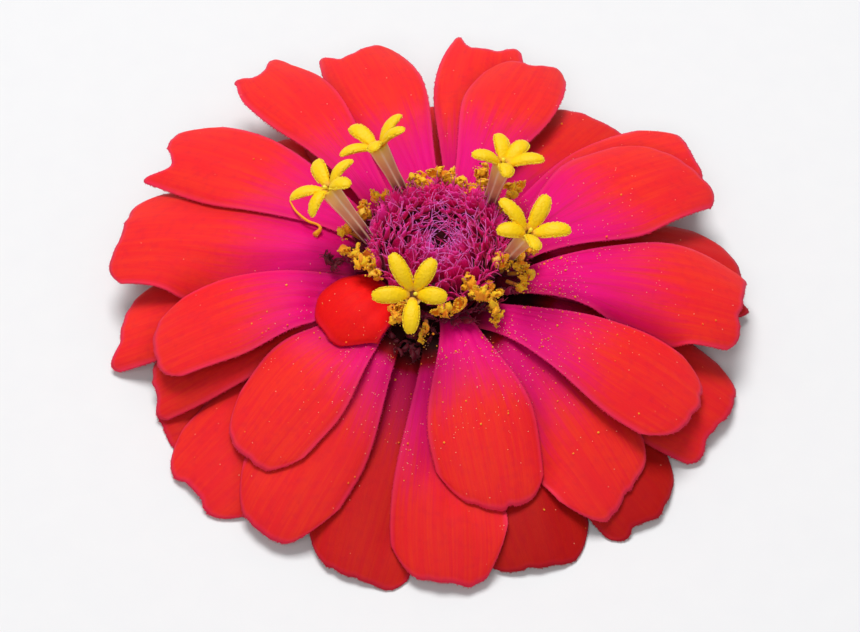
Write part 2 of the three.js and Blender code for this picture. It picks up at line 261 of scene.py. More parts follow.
class Finish:
    # A material: a Principled shader with constants set on its own sockets, and nodes that feed the rest.
    # Its table holds its colours and numbers, and each of them can be given by its name in the table.
    def __init__(self, name, table, constants):
        self.table = {key: paint(*value) if isinstance(value, tuple) else value
                      for key, value in table.items()}
        self.material = bpy.data.materials.new(name)
        self.material.use_nodes = True
        self.tree = self.material.node_tree
        self.shader = self.tree.nodes["Principled BSDF"]
        for socket, value in constants.items():
            self.shader.inputs[socket].default_value = self.looked(value)

    def looked(self, value):
        return self.table[value] if isinstance(value, str) else value

    def node(self, kind, settings, inputs, output=0):
        made = self.tree.nodes.new(kind)
        for key, value in settings.items():
            setattr(made, key, value)
        for key, value in inputs.items():
            if isinstance(value, Wire):
                self.tree.links.new(value.socket, made.inputs[key])
            else:
                made.inputs[key].default_value = self.looked(value)
        return Wire(self, made.outputs[output])

    def read(self, label):  # the three numbers of a point vector
        vector = self.node("ShaderNodeAttribute", {"attribute_name": label}, {}, 1)
        return [self.node("ShaderNodeSeparateXYZ", {}, {0: vector}, part) for part in range(3)]

    def vector(self, x, y, z):
        return self.node("ShaderNodeCombineXYZ", {}, {0: x, 1: y, 2: z})

    def noise(self, scale, detail=2.0, vector=None, roughness=0.5):
        vector = vector or self.node("ShaderNodeTexCoord", {}, {}, 3)
        values = {"Vector": vector, "Scale": scale, "Detail": detail, "Roughness": roughness}
        return self.node("ShaderNodeTexNoise", {}, values)

    def mix(self, share, first, second, blend="MIX"):
        settings = {"data_type": "RGBA", "blend_type": blend}
        return self.node("ShaderNodeMix", settings, {0: share, 6: first, 7: second}, 2)

    def coats(self, colour, *coats):  # other colours laid over it one by one, each by its own share
        for share, *coat in coats:
            colour = self.mix(share, colour, *coat)
        return colour

    def done(self, colour, height=None, strength=1.0):  # feeds the colour, and a bump from a height
        self.tree.links.new(colour.socket, self.shader.inputs["Base Color"])
        if height:
            values = {"Height": height, "Distance": "relief", "Strength": strength}
            bump = self.node("ShaderNodeBump", {}, values)
            self.tree.links.new(bump.socket, self.shader.inputs["Normal"])
        return self.material


petalPaint = {
    "red": (247, 38, 44), "flame": (250, 52, 38), "magenta": (232, 2, 122), "rootShadeAndVein": (110, 6, 38),
    "rim": (255, 60, 120), "under": (206, 70, 84), "shadow": (164, 84, 56), "ring": (42, 11, 11),
    "rich": (244, 90, 96), "vein": (214, 20, 60), "sheen": (255, 120, 150), "rimWidth": 0.7,
    "boundary": 0.42, "feather": 0.2,  # where along the petal the magenta ends, and how softly
    "mottle": 1100.0, "blotch": 160.0, "grain": 5200.0, "relief": 0.00006,
}


def makePetalFinish():
    # place = share along, share across, shade; trait = distance to the edge, underside, draw.
    skin = Finish("petalFlesh", petalPaint, {
        "Roughness": 0.6, "Specular IOR Level": 0.1, "Sheen Weight": 0.02, "Sheen Roughness": 0.4,
        "Sheen Tint": "sheen", "Subsurface Weight": 0.12, "Subsurface Radius": (1.0, 0.25, 0.2),
        "Subsurface Scale": 0.0008,
    })
    along, across, shade = skin.read("place")
    edge, under, draw = skin.read("trait")
    veins = skin.noise(3.0, 4.0, skin.vector(across * 5.0, along * 0.9, draw * 40.0), 0.6)
    threads = skin.noise(9.0, 3.0, skin.vector(across * 6.0, along * 0.5, draw * 40.0 + 9.0), 0.6)
    reach = along + (veins - 0.5) * 0.3 + (threads - 0.5) * 0.03 - abs(across) * 0.05
    boundary, feather = petalPaint["boundary"], petalPaint["feather"]
    blade = skin.coats(
        "red",
        ((skin.noise("blotch", 3.0) * 0.5 + veins).band(0.6, 0.95), "flame"),
        ((threads.band(0.5, 0.8) + skin.noise("mottle", 3.0).band(0.45, 0.75)) * 0.2, "vein"))
    # Darkest at the root, painted shade where the petal goes under the disc; then magenta, then the red
    # blade, with darker vein streaks in the magenta part.
    colour = skin.coats(
        "rootShadeAndVein",
        (along.band(0.03, 0.16), "magenta"),
        (reach.band(boundary - feather, boundary + feather), blade),
        (veins.band(0.5, 0.72) * (1 - reach.band(0.4, 0.7)) * 0.2, "rootShadeAndVein"),
        ((1 - edge.band(0.0, petalPaint["rimWidth"])) * 0.4, "rim"),
        (under * 0.8, "under"),
        # painted shade: a shade above zero multiplies in the shadow colour; below zero the rich red tints it
        (shade, "shadow", "MULTIPLY"),
        (0 - shade, "rich", "MULTIPLY"),
        # painted shade: near-black between the roots of the lower petals, and on the ring under them
        ((shade - 1) + (0 - edge).band(0.2, 0.8), "ring"))
    return skin.done(colour, skin.noise("grain") * 0.35 + threads * 0.6, 0.6)


# The petals. Each row of the table is one petal: its turn, the reach and height of its tip, its width and
# how far along it is widest, how far its root is shifted sideways, how dark it is (partly its own darker
# red, partly painted shade for the shadow of the petals above; below zero, how rich its red), how far along
# it the magenta goes, and how many millimetres its tip runs on at five places from its left side to its
# right. They are listed from the lowest to the topmost.

petalForm = {
    "rootRadius": 6, "claw": 0.27, "opening": 1.05, "taper": 0.1, "cup": 28, "roundness": 0.14,
    "bluntness": 4.2, "rows": 64, "columns": 36, "thickness": 0.34, "rim": 0.1, "rimRun": 0.9,
    "groove": 0.2, "grooves": (-0.42, 0.02, 0.45), "grooveShift": 0.08, "grooveWidth": 0.13,
    "grooveDepths": (0.4, 1), "ripple": 0.28, "ripples": 9,
    "teeth": 0.22, "notchLeast": (-0.55, 0.05), "notchMost": (-0.05, 0.55), "notchDepths": (0.4, 1.2),
    "notchWidth": 0.09, "pointReach": 0.7, "pointHeight": 0.6, "pointWidth": 0.08,
    "mapReach": 40.0, "cell": 0.25, "sky": 100, "clear": 0.1, "pushSpread": 40, "floorGap": 0.03,
    "floorEase": 8, "shadeReach": 1.6, "shadeMost": 0.6, "frontTurn": 290, "rootShade": (0.14, 0.3),
    "hairs": 420, "hairLength": 0.17, "hairWidth": 0.045, "hairFrom": 0.15,
    "ring": [(0, 7.7), (8.4, 7.6), (9.6, 7.7), (9.7, 7.9), (8, 8.2), (6, 8.3), (0, 8.4)],
}
petalWhorls = [
    {"layer": "lower", "rootHeight": 8.4, "rise": -6, "petals": [
        (1, 32.4, 1.5, 11, 0.7, 0, 0.6, 0.4, (-4, -2, 0.8, -2, -3)),
        (54, 29, 0.8, 12, 0.7, 0, 0.5, 0.4, (0, 0, 0, 0, 0)),
        (88, 29.3, 1.4, 11.5, 0.7, 0, 0.5, 0.4, (0, 0, 0, 0, 0)),
        (163, 30, 0.8, 12, 0.7, 0, 0.5, 0.4, (0, 0, 0, 0, 0)),
        (206, 31.9, 0.8, 11, 0.7, 0, 0.5, 0.3, (0.5, 0.2, 0, -0.2, -0.7)),
        (221.2, 33.8, 0.8, 14, 0.7, 0, 0.15, 0.25, (0, 0.2, -0.6, 0, -0.2)),
        (254.5, 33.2, 0.8, 12.6, 0.7, 0, 0.6, 0.4, (2.8, 0.4, 0, -0.5, -1)),
        (289, 32.6, 0.8, 13, 0.7, 0, 0.8, 0.3, (0.6, 0.4, 0, -0.2, 0.6)),
        (312, 33.8, 0.8, 12.2, 0.7, 0, 0.8, 0.3, (-0.8, -1.2, -0.3, -0.6, 2.4)),
        (335.5, 33.4, 1.4, 13.8, 0.7, 0, 0.3, 0.3, (0.4, -0.3, -0.6, -1.2, 2))]},
    {"layer": "middle", "rootHeight": 9.5, "rise": 4, "petals": [
        (132.5, 28.5, 4, 12, 0.7, 0, -0.6, 0.42, (0, 0, 0, 0, 0)),
        (113, 28, 4, 12, 0.7, 0, 0.1, 0.6, (0, 0, 0, 0, 0)),
        (9, 32.2, 2.6, 11, 0.7, 0, 0.45, 0.3, (0.8, 0.5, 0.8, 0.4, 0)),
        (54, 31.3, 4, 13, 0.7, 0, 0.25, 0.42, (-0.9, -0.9, -1, -0.2, 1)),
        (81.2, 35.3, 5, 10, 0.8, -0.8, 0, 0.4, (7.4, 1, -0.1, 0.5, 5)),
        (272.2, 33, 1.4, 12.2, 0.85, 0, 0.2, 0.5, (-1.2, 0.5, 0, 0, 0.3)),
        (237, 32.4, 1.8, 12, 0.7, 0, 0.2, 0.4, (-1.2, 0.3, 0.2, -0.2, -0.8)),
        (197.1, 31.4, 2, 10.4, 0.7, 0.6, 0.2, 0.3, (3.5, 0.2, -0.1, -0.8, -1)),
        (184.4, 33.8, 2.5, 10.8, 0.7, 0, 0, 0.3, (4.8, 0.8, -0.3, -0.8, -1.6)),
        (35, 34, 5, 12.6, 0.7, 0, 0, 0.4, (1.5, 1.2, 0, -0.3, -0.5))]},
    {"layer": "middle", "rootHeight": 9.9, "rise": 8, "petals": [
        (308, 30.4, 2.6, 12, 0.75, 0, 0.05, 0.5, (0.3, -0.6, 0, 1, 0.6))]},
    {"layer": "upper", "rootHeight": 10.4, "rise": 14, "petals": [
        (105.5, 33.8, 7, 10.3, 0.76, -1.4, 0, 0.4, (6.4, 0.3, 0, 1.4, 3.4)),
        (122.8, 34.8, 7, 9.5, 0.9, 1.2, 0, 0.4, (6.2, 1.3, 1.2, 3.6, 5.4)),
        (167.1, 34.9, 5.5, 14.2, 0.6, 1.5, 0, 0.42, (2.3, 0.4, -0.1, 0.6, 2.2)),
        (147.5, 35.3, 6.5, 11.2, 0.7, 0.8, 0, 0.4, (4, -2.2, -0.2, 0.7, 0.5)),
        (71, 31, 7.5, 10.6, 0.8, 0, 0, 0.46, (3, 2.1, 1.6, 3.2, 5.4)),
        (357.5, 32, 5.5, 12.6, 0.82, -2.2, 0, 0.52, (4.2, 1.2, 0.2, -0.2, 2.2)),
        (31.2, 32, 6.5, 13, 0.6, -3, 0, 0.44, (-1.6, -1, -0.4, 0.5, 2.6)),
        (331, 30.2, 4.6, 11.6, 0.8, -3.8, 0, 0.44, (0.8, 0.3, 0, -0.4, -0.4)),
        (283.3, 26.2, 4.2, 11.4, 0.7, 0, 0, 0.42, (1.4, 0.6, 0.5, -0.1, -0.6)),
        (225, 27.6, 4.4, 11.2, 0.7, 0.4, 0, 0.42, (0.2, 0.3, 0.3, 0.3, -0.4)),
        (193, 30.4, 5, 10.2, 0.7, 1.6, 0, 0.46, (1.2, 0.1, 0, -0.1, 0))]},
    {"layer": "upper", "rootHeight": 10.6, "rise": 43, "claw": 0.7, "cup": 50, "teeth": 0.05, "petals": [
        (218, 14.6, 10.4, 9.4, 0.7, 0, -0.8, 0.1, (-1.8, 0, 0, 0, 0))]},
]


def throughPoints(values, spot):
    # A smooth line through evenly spaced values, at a spot from -1 to 1: a cubic between each two of them,
    # with slopes that their neighbours give.
    values = np.array(values, float)
    slopes = np.gradient(values)
    place = np.clip((spot + 1) / 2 * (len(values) - 1), 0, len(values) - 1.0001)
    i = place.astype(int)
    t = place - i
    rise = values[i + 1] - values[i]
    curve = 3 * rise - 2 * slopes[i] - slopes[i + 1] + t * (slopes[i] + slopes[i + 1] - 2 * rise)
    return values[i] + t * (slopes[i] + t * curve)


def petalOutline(form, line, span, u, v, random):
    # Share along the midrib for a point of the grid: u, cut back where |v| is large, run on by the petal's
    # own tip line, with two shallow notches and a small point at the tip.
    notches = random.uniform(form["notchLeast"], form["notchMost"])
    depths = form["teeth"] * random.uniform(*form["notchDepths"], 2)
    point = random.uniform(-form["pointReach"], form["pointReach"])
    cut = form["roundness"] * span * np.abs(v) ** form["bluntness"] - throughPoints(line, -v)
    cut = cut + sum(depth * bell(v, notch, form["notchWidth"]) for notch, depth in zip(notches, depths))
    cut = (cut - form["teeth"] * form["pointHeight"] * bell(v, point, form["pointWidth"])) / span
    return u * (1 - cut * u ** 4), 1 - cut


def petalSheet(whorl, shape, random):
    # The middle surface of a petal. Its midrib is a quadratic Bezier curve, its half width opens along it as
    # a smooth step and tapers a little, and its cross-section is an arc whose bend grows towards the tip.
    # Grooves and an edge ripple are added along the normal.
    form = petalForm | whorl
    turn, reach, tipHeight, wide, widest, shift, _, _, line = shape
    u = np.linspace(0, 1, form["rows"])[:, None]
    v = np.sin(np.linspace(-0.5, 0.5, form["columns"]) * np.pi)[None, :]
    v = 0.5 * v + 0.5 * np.linspace(-1, 1, form["columns"])[None, :]
    span = reach - form["rootRadius"]
    s, limit = petalOutline(form, line, span, u, v, random)
    crestHeight = whorl["rootHeight"] + math.tan(math.radians(whorl["rise"])) * span / 2
    aside = shift * polar(turn + 90, 1, 0)
    root = polar(turn, form["rootRadius"], whorl["rootHeight"]) + aside
    crest = polar(turn, form["rootRadius"] + span / 2, crestHeight) + aside / 2
    tip = polar(turn, reach, tipHeight)
    share = np.minimum(s / widest, 1) ** form["opening"]
    opened = form["claw"] + (1 - form["claw"]) * share * share * (3 - 2 * share)
    past = np.clip((s - widest) / (1 - widest), 0, 1.5)
    half = wide / 2 * opened * (1 - form["taper"] * past * past)
    t = s[..., None]
    centre = bowed(t, root, crest, tip)
    along = unit((1 - t) * (crest - root) + t * (tip - crest))
    side = unit(np.stack([-along[..., 1], along[..., 0], 0 * s], axis=-1))
    up = np.cross(along, side)
    bend = math.radians(form["cup"]) * (0.35 + 0.65 * s)
    drift, width, depths = form["grooveShift"], form["grooveWidth"], form["grooveDepths"]
    grooves = sum(bell(v, middle + random.uniform(-drift, drift), width) * random.uniform(*depths)
                  for middle in form["grooves"])
    grooves = grooves * smoothStep(s, 0.06, 0.25) * (1 - 0.5 * smoothStep(s, 0.5, 0.95))
    phase = random.uniform(0, 2 * np.pi, 2)
    edge = np.abs(v) ** 3 * smoothStep(s, 0.3, 0.7)
    ripple = edge * np.sin(form["ripples"] * s + np.where(v > 0, *phase))
    lift = form["ripple"] * ripple - form["groove"] * grooves
    sheet = centre + side * (half * v * (1 - (bend * v) ** 2 / 6))[..., None]
    sheet = sheet + up * (lift - half * bend * v * v / 2)[..., None]
    edgeDistance = np.minimum(half * (1 - np.abs(v)), span * (limit - s))
    return sheet, s, v + 0 * s, edgeDistance


def neighbours(values):  # nine copies of a grid, each moved by one cell or none along both of its sides
    rows, columns = values.shape
    padded = np.pad(values, 1, mode="edge")
    return [padded[i:i + rows, j:j + columns] for i in range(3) for j in range(3)]


def softened(values):  # each value becomes the mean of the nine round it
    return sum(neighbours(values)) / 9


class HeightMap:
    # A square grid of cells seen from above, which keeps the highest or the lowest point in each.
    def __init__(self, pick, empty):
        self.pick, self.reach, self.cell = pick, petalForm["mapReach"], petalForm["cell"]
        count = int(2 * self.reach / self.cell)
        self.cells = np.full((count, count), float(empty))

    def index(self, points):
        limit = len(self.cells) - 1
        spots = np.clip((points[..., :2] + self.reach) / self.cell, 0, limit).astype(int)
        return spots[..., 0], spots[..., 1]

    def add(self, points):
        self.pick.at(self.cells, self.index(points), points[..., 2])

    def grown(self):  # each cell takes the picked value of its neighbours too
        return self.pick.reduce(neighbours(self.cells))


def finer(sheet, steps=3):  # a grid with points put in between, so that no cell is missed
    for axis in (0, 1):
        first = np.moveaxis(sheet, axis, 0)
        shares = (np.arange(steps) / steps)[None, :, None, None]
        between = first[:-1, None] * (1 - shares) + first[1:, None] * shares
        between = between.reshape(-1, *first.shape[1:])
        sheet = np.moveaxis(np.concatenate([between, first[-1:]]), 0, axis)
    return sheet


def layered(sheet, ceiling):
    # Pushes a petal down under those above it: where it would come through them it goes below, and the
    # push fades out smoothly over the rest of the petal. It stays on or above the surface underneath.
    form = petalForm
    half, clear = form["thickness"] / 2, form["clear"]
    room = ceiling.grown()[ceiling.index(sheet)] - half - clear
    need = np.maximum(sheet[..., 2] - room, 0)
    push = need
    for _ in range(form["pushSpread"]):
        push = np.maximum(need, softened(push))
    push = softened(softened(push)) + 0.5 * np.minimum(push, clear)
    floor = half + form["floorGap"]
    ease = form["floorEase"]
    height = floor + np.logaddexp(0, (sheet[..., 2] - push - floor) * ease) / ease
    return np.dstack([sheet[..., :2], height])


def shadeUnder(sheet, ceiling):  # how much of the ground near each point other petals cover, 0 to 1, for a painted contact shadow
    steps = np.arange(-2, 3) * petalForm["shadeReach"] / 2
    near = [np.array([x, y, 0]) for x in steps for y in steps]
    hits = sum(ceiling.cells[ceiling.index(sheet + move)] < petalForm["sky"] / 2 for move in near)
    return hits / len(near)


def petalShell(sheet, along, v, edgeDistance, shade, draw):  # thinner towards its rim
    form = petalForm
    swell = smoothStep(edgeDistance, 0, form["rimRun"])
    half = form["rim"] / 2 + (form["thickness"] - form["rim"]) / 2 * swell
    points, faces = thickened(sheet, normals(sheet) * half[..., None])
    place = np.tile(triple(along, v, shade), (2, 1))
    under = np.repeat([0.0, 1.0], v.size)
    return points, faces, place, triple(np.tile(edgeDistance.ravel(), 2), under, draw)


def petalHairs(sheet, along, shade, draw, random):
    # Short hairs round the edge of a petal, each a three-sided spike that points outwards.
    form = petalForm
    first = int(form["rows"] * form["hairFrom"])

    def rimOf(grid, inset=0):  # the points round the edge of a grid, or those one line further in
        last = -1 - inset
        return np.concatenate([grid[first:, inset], grid[last, 1:-1], grid[first:, last][::-1]])

    edge = rimOf(sheet)
    run = runOf(edge)
    spots = np.sort(random.uniform(0, run[-1], form["hairs"]))
    foot = readAt(spots, run, edge)
    out = readAt(spots, run, unit(edge - rimOf(sheet, 1)))
    out = unit(out + random.normal(0, 0.35, out.shape))
    long = form["hairLength"] * random.uniform(0.5, 1.1, (len(spots), 1))
    paths = foot[:, None] + out[:, None] * long[:, None] * np.array([-0.3, 1.0])[None, :, None]
    points, faces, item = tubes(paths, form["hairWidth"] * np.array([1.0, 0.25]))
    place = triple(np.interp(spots, run, rimOf(along)), 0, np.interp(spots, run, rimOf(shade)))
    return points, faces, place[item], (0, 0, draw)


def makePetals(finish):
    # From the topmost petal down, each one under those before it.
    form = petalForm
    random = np.random.default_rng(21)
    ceiling, top = HeightMap(np.minimum, form["sky"]), HeightMap(np.maximum, 0)
    half = np.array([0, 0, form["thickness"] / 2])
    layers, hairs, sheets = {"upper": [], "middle": [], "lower": []}, [], []
    for whorl in reversed(petalWhorls):
        layer = whorl["layer"]
        for shape in reversed(whorl["petals"]):
            turn, dark, magenta = shape[0], shape[6], shape[7]
            sheet, s, v, edgeDistance = petalSheet(whorl, shape, random)
            sheet = layered(sheet, ceiling)
            covered = shadeUnder(sheet, ceiling)
            fine = finer(sheet)
            ceiling.add(fine - half)
            top.add(fine + half)
            draw = random.uniform(0, 1)
            along = s * petalPaint["boundary"] / magenta
            # painted shade: the darkness from the table, or a painted contact shadow where other petals
            # cover the ground near it
            shade = np.maximum(dark, form["shadeMost"] * covered) if dark >= 0 else dark + 0 * s
            if layer != "upper":  # painted shade at the root, darkest in front, where above 1 it turns to the near-black ring colour
                front = smoothStep(math.cos(math.radians(turn - form["frontTurn"])), -0.2, 0.3)
                shade = np.maximum(shade, (1 + front) * (1 - smoothStep(s, *form["rootShade"])))
            layers[layer].append(petalShell(sheet, along, v, edgeDistance, shade, draw))
            hairs.append(petalHairs(sheet, along, shade, draw, random))
            sheets.append(sheet)
    # A ring under the petals' roots, painted near-black: painted shade in the gaps between the roots.
    points, faces = revolved(resampled(form["ring"], 30), 72)
    layers["lower"].append((points, faces, (0, 0, 0), (-1, 0, 0.5)))
    for layer, parts in layers.items():
        makePiece("petals_" + layer, parts, finish, ["ray_petals"])
    makePiece("petal_hairs", hairs, finish, ["ray_petals"])
    return sheets, top


petalFinish = makePetalFinish()
petalSheets, petalTop = makePetals(petalFinish)
print("petals are done")


# The dome of purple chaff scales in the middle

domeForm = {
    # Outline of the core from the axis out under it, and over it from its rim to the dimple.
    "under": [(0, 10.8), (5.2, 11.1), (6, 11.7)],
    "over": [(6.2, 12.3), (6.2, 12.7), (5.7, 13.2), (4.7, 13.6), (3.4, 13.6), (2, 12.8), (1, 11.7),
             (0, 11.1)],
    "foot": (6.6, 12), "sides": 72, "dimple": (0.5, 0.9), "dimpleReach": 6.7,
    "scales": 165, "innermost": 0.3, "crowding": 0.62, "turnSpread": 7, "leanSpread": 10,
    "long": (2.3, 3.3), "wide": 0.88, "wideDraw": (0.75, 1.2), "curlDraw": (0.7, 1.3),
    "thickness": 0.07, "sunk": 0.35,
    "rows": 9, "columns": 9, "fold": 0.4, "jag": 0.22, "crumple": 0.08, "ruffle": 0.13, "twist": 20,
    # Lean, curl and size of the scales at three places from the dimple to the rim.
    "leanAt": (0.17, 0.4, 0.95), "lean": (-5, 45, 68), "curl": (20, 50, 55),
    "sizeAt": (0.17, 0.4, 1), "longShare": (0.45, 0.8, 1.1), "wideShare": (0.6, 0.9, 1.05),
    "threads": 5, "threadLong": (0.6, 1.8), "threadWide": 0.06, "threadCurl": 1.1,
    "threadScatter": 0.4, "steps": 6,
    "dryScales": 80, "dryRadius": (6.8, 8.5), "dryHeight": (10.9, 11.6), "dryLong": (1.4, 2.6),
    "dryGap": (218, 22),  # none under the small folded petal: its turn, and how far to either side
}
chaffPaint = {
    "paintedPitShade": (150, 4, 60), "scale": (228, 8, 110), "edge": (246, 46, 160), "thread": (250, 80, 190),
    "violet": (255, 130, 236), "dry": (98, 5, 30), "mottle": 900.0, "grain": 3800.0, "relief": 0.00008,
}


def makeChaffFinish():
    # place = height up the scale, share across it (for threads, share of the dome's radius), draw;
    # trait = thread, dryness (on the core, painted shade), share of the dome's radius (for threads, draw).
    chaff = Finish("fringedChaff", chaffPaint, {
        "Roughness": 0.5, "Specular IOR Level": 0.3, "Sheen Weight": 0.1, "Sheen Roughness": 0.4,
        "Subsurface Weight": 0.2, "Subsurface Radius": (1.0, 0.25, 0.5), "Subsurface Scale": 0.0006,
    })
    height, radius, tone = chaff.read("place")
    thread, dry, draw = chaff.read("trait")
    streaks = chaff.noise(5.0, 3.0, chaff.vector(radius * 3.0, height * 0.5, tone * 40.0), 0.6)
    lit = height + (chaff.noise("mottle", 3.0) - 0.5) * 0.3 + (streaks - 0.5) * 1.1
    hair = chaff.mix((1 - radius + draw * 0.4).band(0.1, 0.9), "scale", "violet")
    # Dark towards each scale's foot and in streaks: painted shade in the hollows between the scales. Lighter
    # pink at the tips: partly their own colour, partly a painted highlight.
    colour = chaff.coats(
        "paintedPitShade",
        (lit.band(0.05, 0.7), "scale"),
        ((lit * 0.7 + tone * 0.5).band(0.7, 1.2), "edge"),
        ((height - draw).band(0.0, 0.6) * 0.6, "thread"),
        (thread, chaff.mix(draw.band(0.1, 0.5), "scale", hair)),
        (dry * (0.75 + tone * 0.25), "dry"))
    return chaff.done(colour, chaff.noise("grain"), 0.5)


def domeAt(turn, share):
    # The foot of a scale at a turn and a share of the way from the dimple out over the rim and down, and
    # the outline's outward normal and inward direction there.
    line = np.array(domeForm["over"][::-1] + [domeForm["foot"]], float)
    run = runOf(line)
    spot = np.clip(share, 0, 1) * run[-1]
    radius, height = readAt(spot, run, line).T
    out, rise = (readAt(spot + 0.5, run, line) - readAt(spot - 0.5, run, line)).T
    size = np.hypot(out, rise)
    normal = unit(polar(turn, -rise / size, out / size))
    return polar(turn, radius, height), normal, -unit(polar(turn, out, rise))


def dimpled(points):  # moves points near the axis sideways, to where the dimple is
    radius = np.linalg.norm(points[..., :2], axis=-1, keepdims=True)
    move = np.array(domeForm["dimple"]) * np.maximum(1 - radius / domeForm["dimpleReach"], 0) ** 1.5
    return np.concatenate([points[..., :2] + move, points[..., 2:]], axis=-1)


def chaffScales(foot, ahead, inward, curl, long, wide, radius, dry, random):
    # Fringed scales, one for each row of the arrays: a scale stands ahead from its foot and curls inward in
    # an arc. Its cross-section is a fold, its end is jagged, and curly threads fan out from it.
    form = domeForm
    count = len(foot)
    index = np.arange(count)
    side = unit(np.cross(ahead, inward))
    twist = np.radians(random.uniform(-1, 1, count) * form["twist"])[:, None]
    side = unit(side * np.cos(twist) + np.cross(ahead, side) * np.sin(twist))
    back = np.cross(side, ahead)
    phase = random.uniform(0, 2 * np.pi, (2, count))

    def scalePoint(t, x, item):
        # The point t up a scale and x across it, from -1 to 1, its outward side and the way ahead there.
        length, width = long[item], wide[item] * (0.5 + 0.5 * np.sin(np.pi * 0.88 * t))
        swell = form["crumple"] * np.sin(6 * t + phase[0, item]) * np.cos(2.5 * x + phase[1, item])
        swell = swell + form["ruffle"] * t * x * x * np.sin(8 * t + 5 * x + phase[1, item])
        bend = curl[item] * t
        cos, sin = np.cos(bend)[..., None], np.sin(bend)[..., None]
        reach = (length / curl[item])[..., None]
        point = foot[item] + ahead[item] * (reach * sin - form["sunk"]) - back[item] * (reach * (1 - cos))
        outward = back[item] * cos + ahead[item] * sin
        point = point - outward * (form["fold"] * width * x * x - swell)[..., None]
        return point + side[item] * (width * x)[..., None], outward, ahead[item] * cos - back[item] * sin

    grid = (count, form["rows"], form["columns"])
    item = np.broadcast_to(index[:, None, None], grid)
    jag = random.uniform(0, form["jag"], (count, 1, form["columns"]))
    t = np.linspace(0, 1, form["rows"])[None, :, None] * (1 - jag)
    x = np.broadcast_to(np.linspace(-1, 1, form["columns"]), grid)
    sheet, outward, _ = scalePoint(t, x, item)
    skin = outward * form["thickness"] / 2
    points, faces, owner = shells(sheet - skin, sheet + skin)
    up, across = (np.stack([value, value], axis=1).ravel() for value in (t, x))
    tone = random.uniform(0, 1, count)
    parts = [(points, faces, triple(up, across, tone[owner]), triple(0, dry, radius)[owner])]

    item = np.repeat(index, form["threads"])
    number = len(item)
    x = random.uniform(-1, 1, number)
    t = 0.95 - 0.3 * np.abs(x) ** 2 - random.uniform(0, 0.15, number)
    start, _, away = scalePoint(t, x, item)
    away = unit(away + side[item] * 0.8 * x[:, None] + random.normal(0, form["threadScatter"], (number, 3)))
    bend = random.normal(0, 1, (number, 3)) + inward[item] * 0.5
    bend = squareTo(away, bend) * form["threadCurl"]
    reach = random.uniform(*form["threadLong"], number) * np.interp(radius[item], [0.35, 0.65], [1.2, 0.9])
    reach = (reach * (1 - 0.4 * dry[item]))[:, None, None]
    step = np.linspace(0, 1, form["steps"])[None, :, None]
    paths = start[:, None] + reach * (away[:, None] * (step - 0.12) + bend[:, None] * step ** 2 * 0.5)
    radii = form["threadWide"] * np.linspace(1, 0.5, form["steps"])
    points, faces, owner = tubes(paths, radii, lean=unit(bend))
    draw = random.uniform(0, 1, number)
    place, trait = triple(1, radius[item], draw), triple(1, dry[item], draw)
    parts.append((points, faces, place[owner], trait[owner]))
    return parts


def makeDome(finish):
    # The core, the scales on it, each at the golden angle from the one before, and dry ones round its foot.
    form = domeForm
    random = np.random.default_rng(5)
    points, faces = revolved(resampled(form["under"] + form["over"], 46), form["sides"])
    # The core takes the dark dry colour: painted shade for the hole of the dimple and the gaps between the
    # scales.
    parts = [(dimpled(points), faces, (0.05, 0.5, 1), (0, 1, 1))]
    count = form["scales"]
    index = np.arange(count)
    share = form["innermost"] + (1 - form["innermost"]) * ((index + 0.5) / count) ** form["crowding"]
    turn = index * goldenAngle + random.uniform(-form["turnSpread"], form["turnSpread"], count)
    foot, normal, inward = domeAt(turn, share)
    lean = random.uniform(-form["leanSpread"], form["leanSpread"], count)
    lean = np.radians(np.interp(share, form["leanAt"], form["lean"]) + lean)[:, None]
    ahead = normal * np.cos(lean) + inward * np.sin(lean)
    inside = inward * np.cos(lean) - normal * np.sin(lean)
    curl = np.interp(share, form["leanAt"], form["curl"]) * random.uniform(*form["curlDraw"], count)
    long = random.uniform(*form["long"], count) * np.interp(share, form["sizeAt"], form["longShare"])
    wide = form["wide"] * random.uniform(*form["wideDraw"], count)
    wide = wide * np.interp(share, form["sizeAt"], form["wideShare"])
    curl, foot = np.radians(curl), dimpled(foot)
    parts += chaffScales(foot, ahead, inside, curl, long, wide, share, 0 * share, random)
    turn = np.arange(form["dryScales"]) * goldenAngle + random.uniform(-6, 6, form["dryScales"])
    gap, reach = form["dryGap"]
    turn = turn[np.abs((turn - gap + 180) % 360 - 180) > reach]
    count = len(turn)
    radius = random.uniform(*form["dryRadius"], count)
    foot = polar(turn, radius, random.uniform(*form["dryHeight"], count))
    ahead = unit(polar(turn + random.normal(0, 20, count), random.uniform(-0.1, 0.6, count), 1))
    long = random.uniform(*form["dryLong"], count)
    wide = form["wide"] * random.uniform(0.6, 1.0, count)
    full = np.ones(count)
    parts += chaffScales(foot, ahead, -polar(turn, 1, 0), full, long, wide, full, full, random)
    makePiece("chaff_dome_scales", parts, finish, ["chaff_dome"])


chaffFinish = makeChaffFinish()
makeDome(chaffFinish)
print("dome is done")


# The open disc florets: the foot and the mouth of each tube, and for each lobe its turn about the tube, its
# reach and its rise above the mouth.

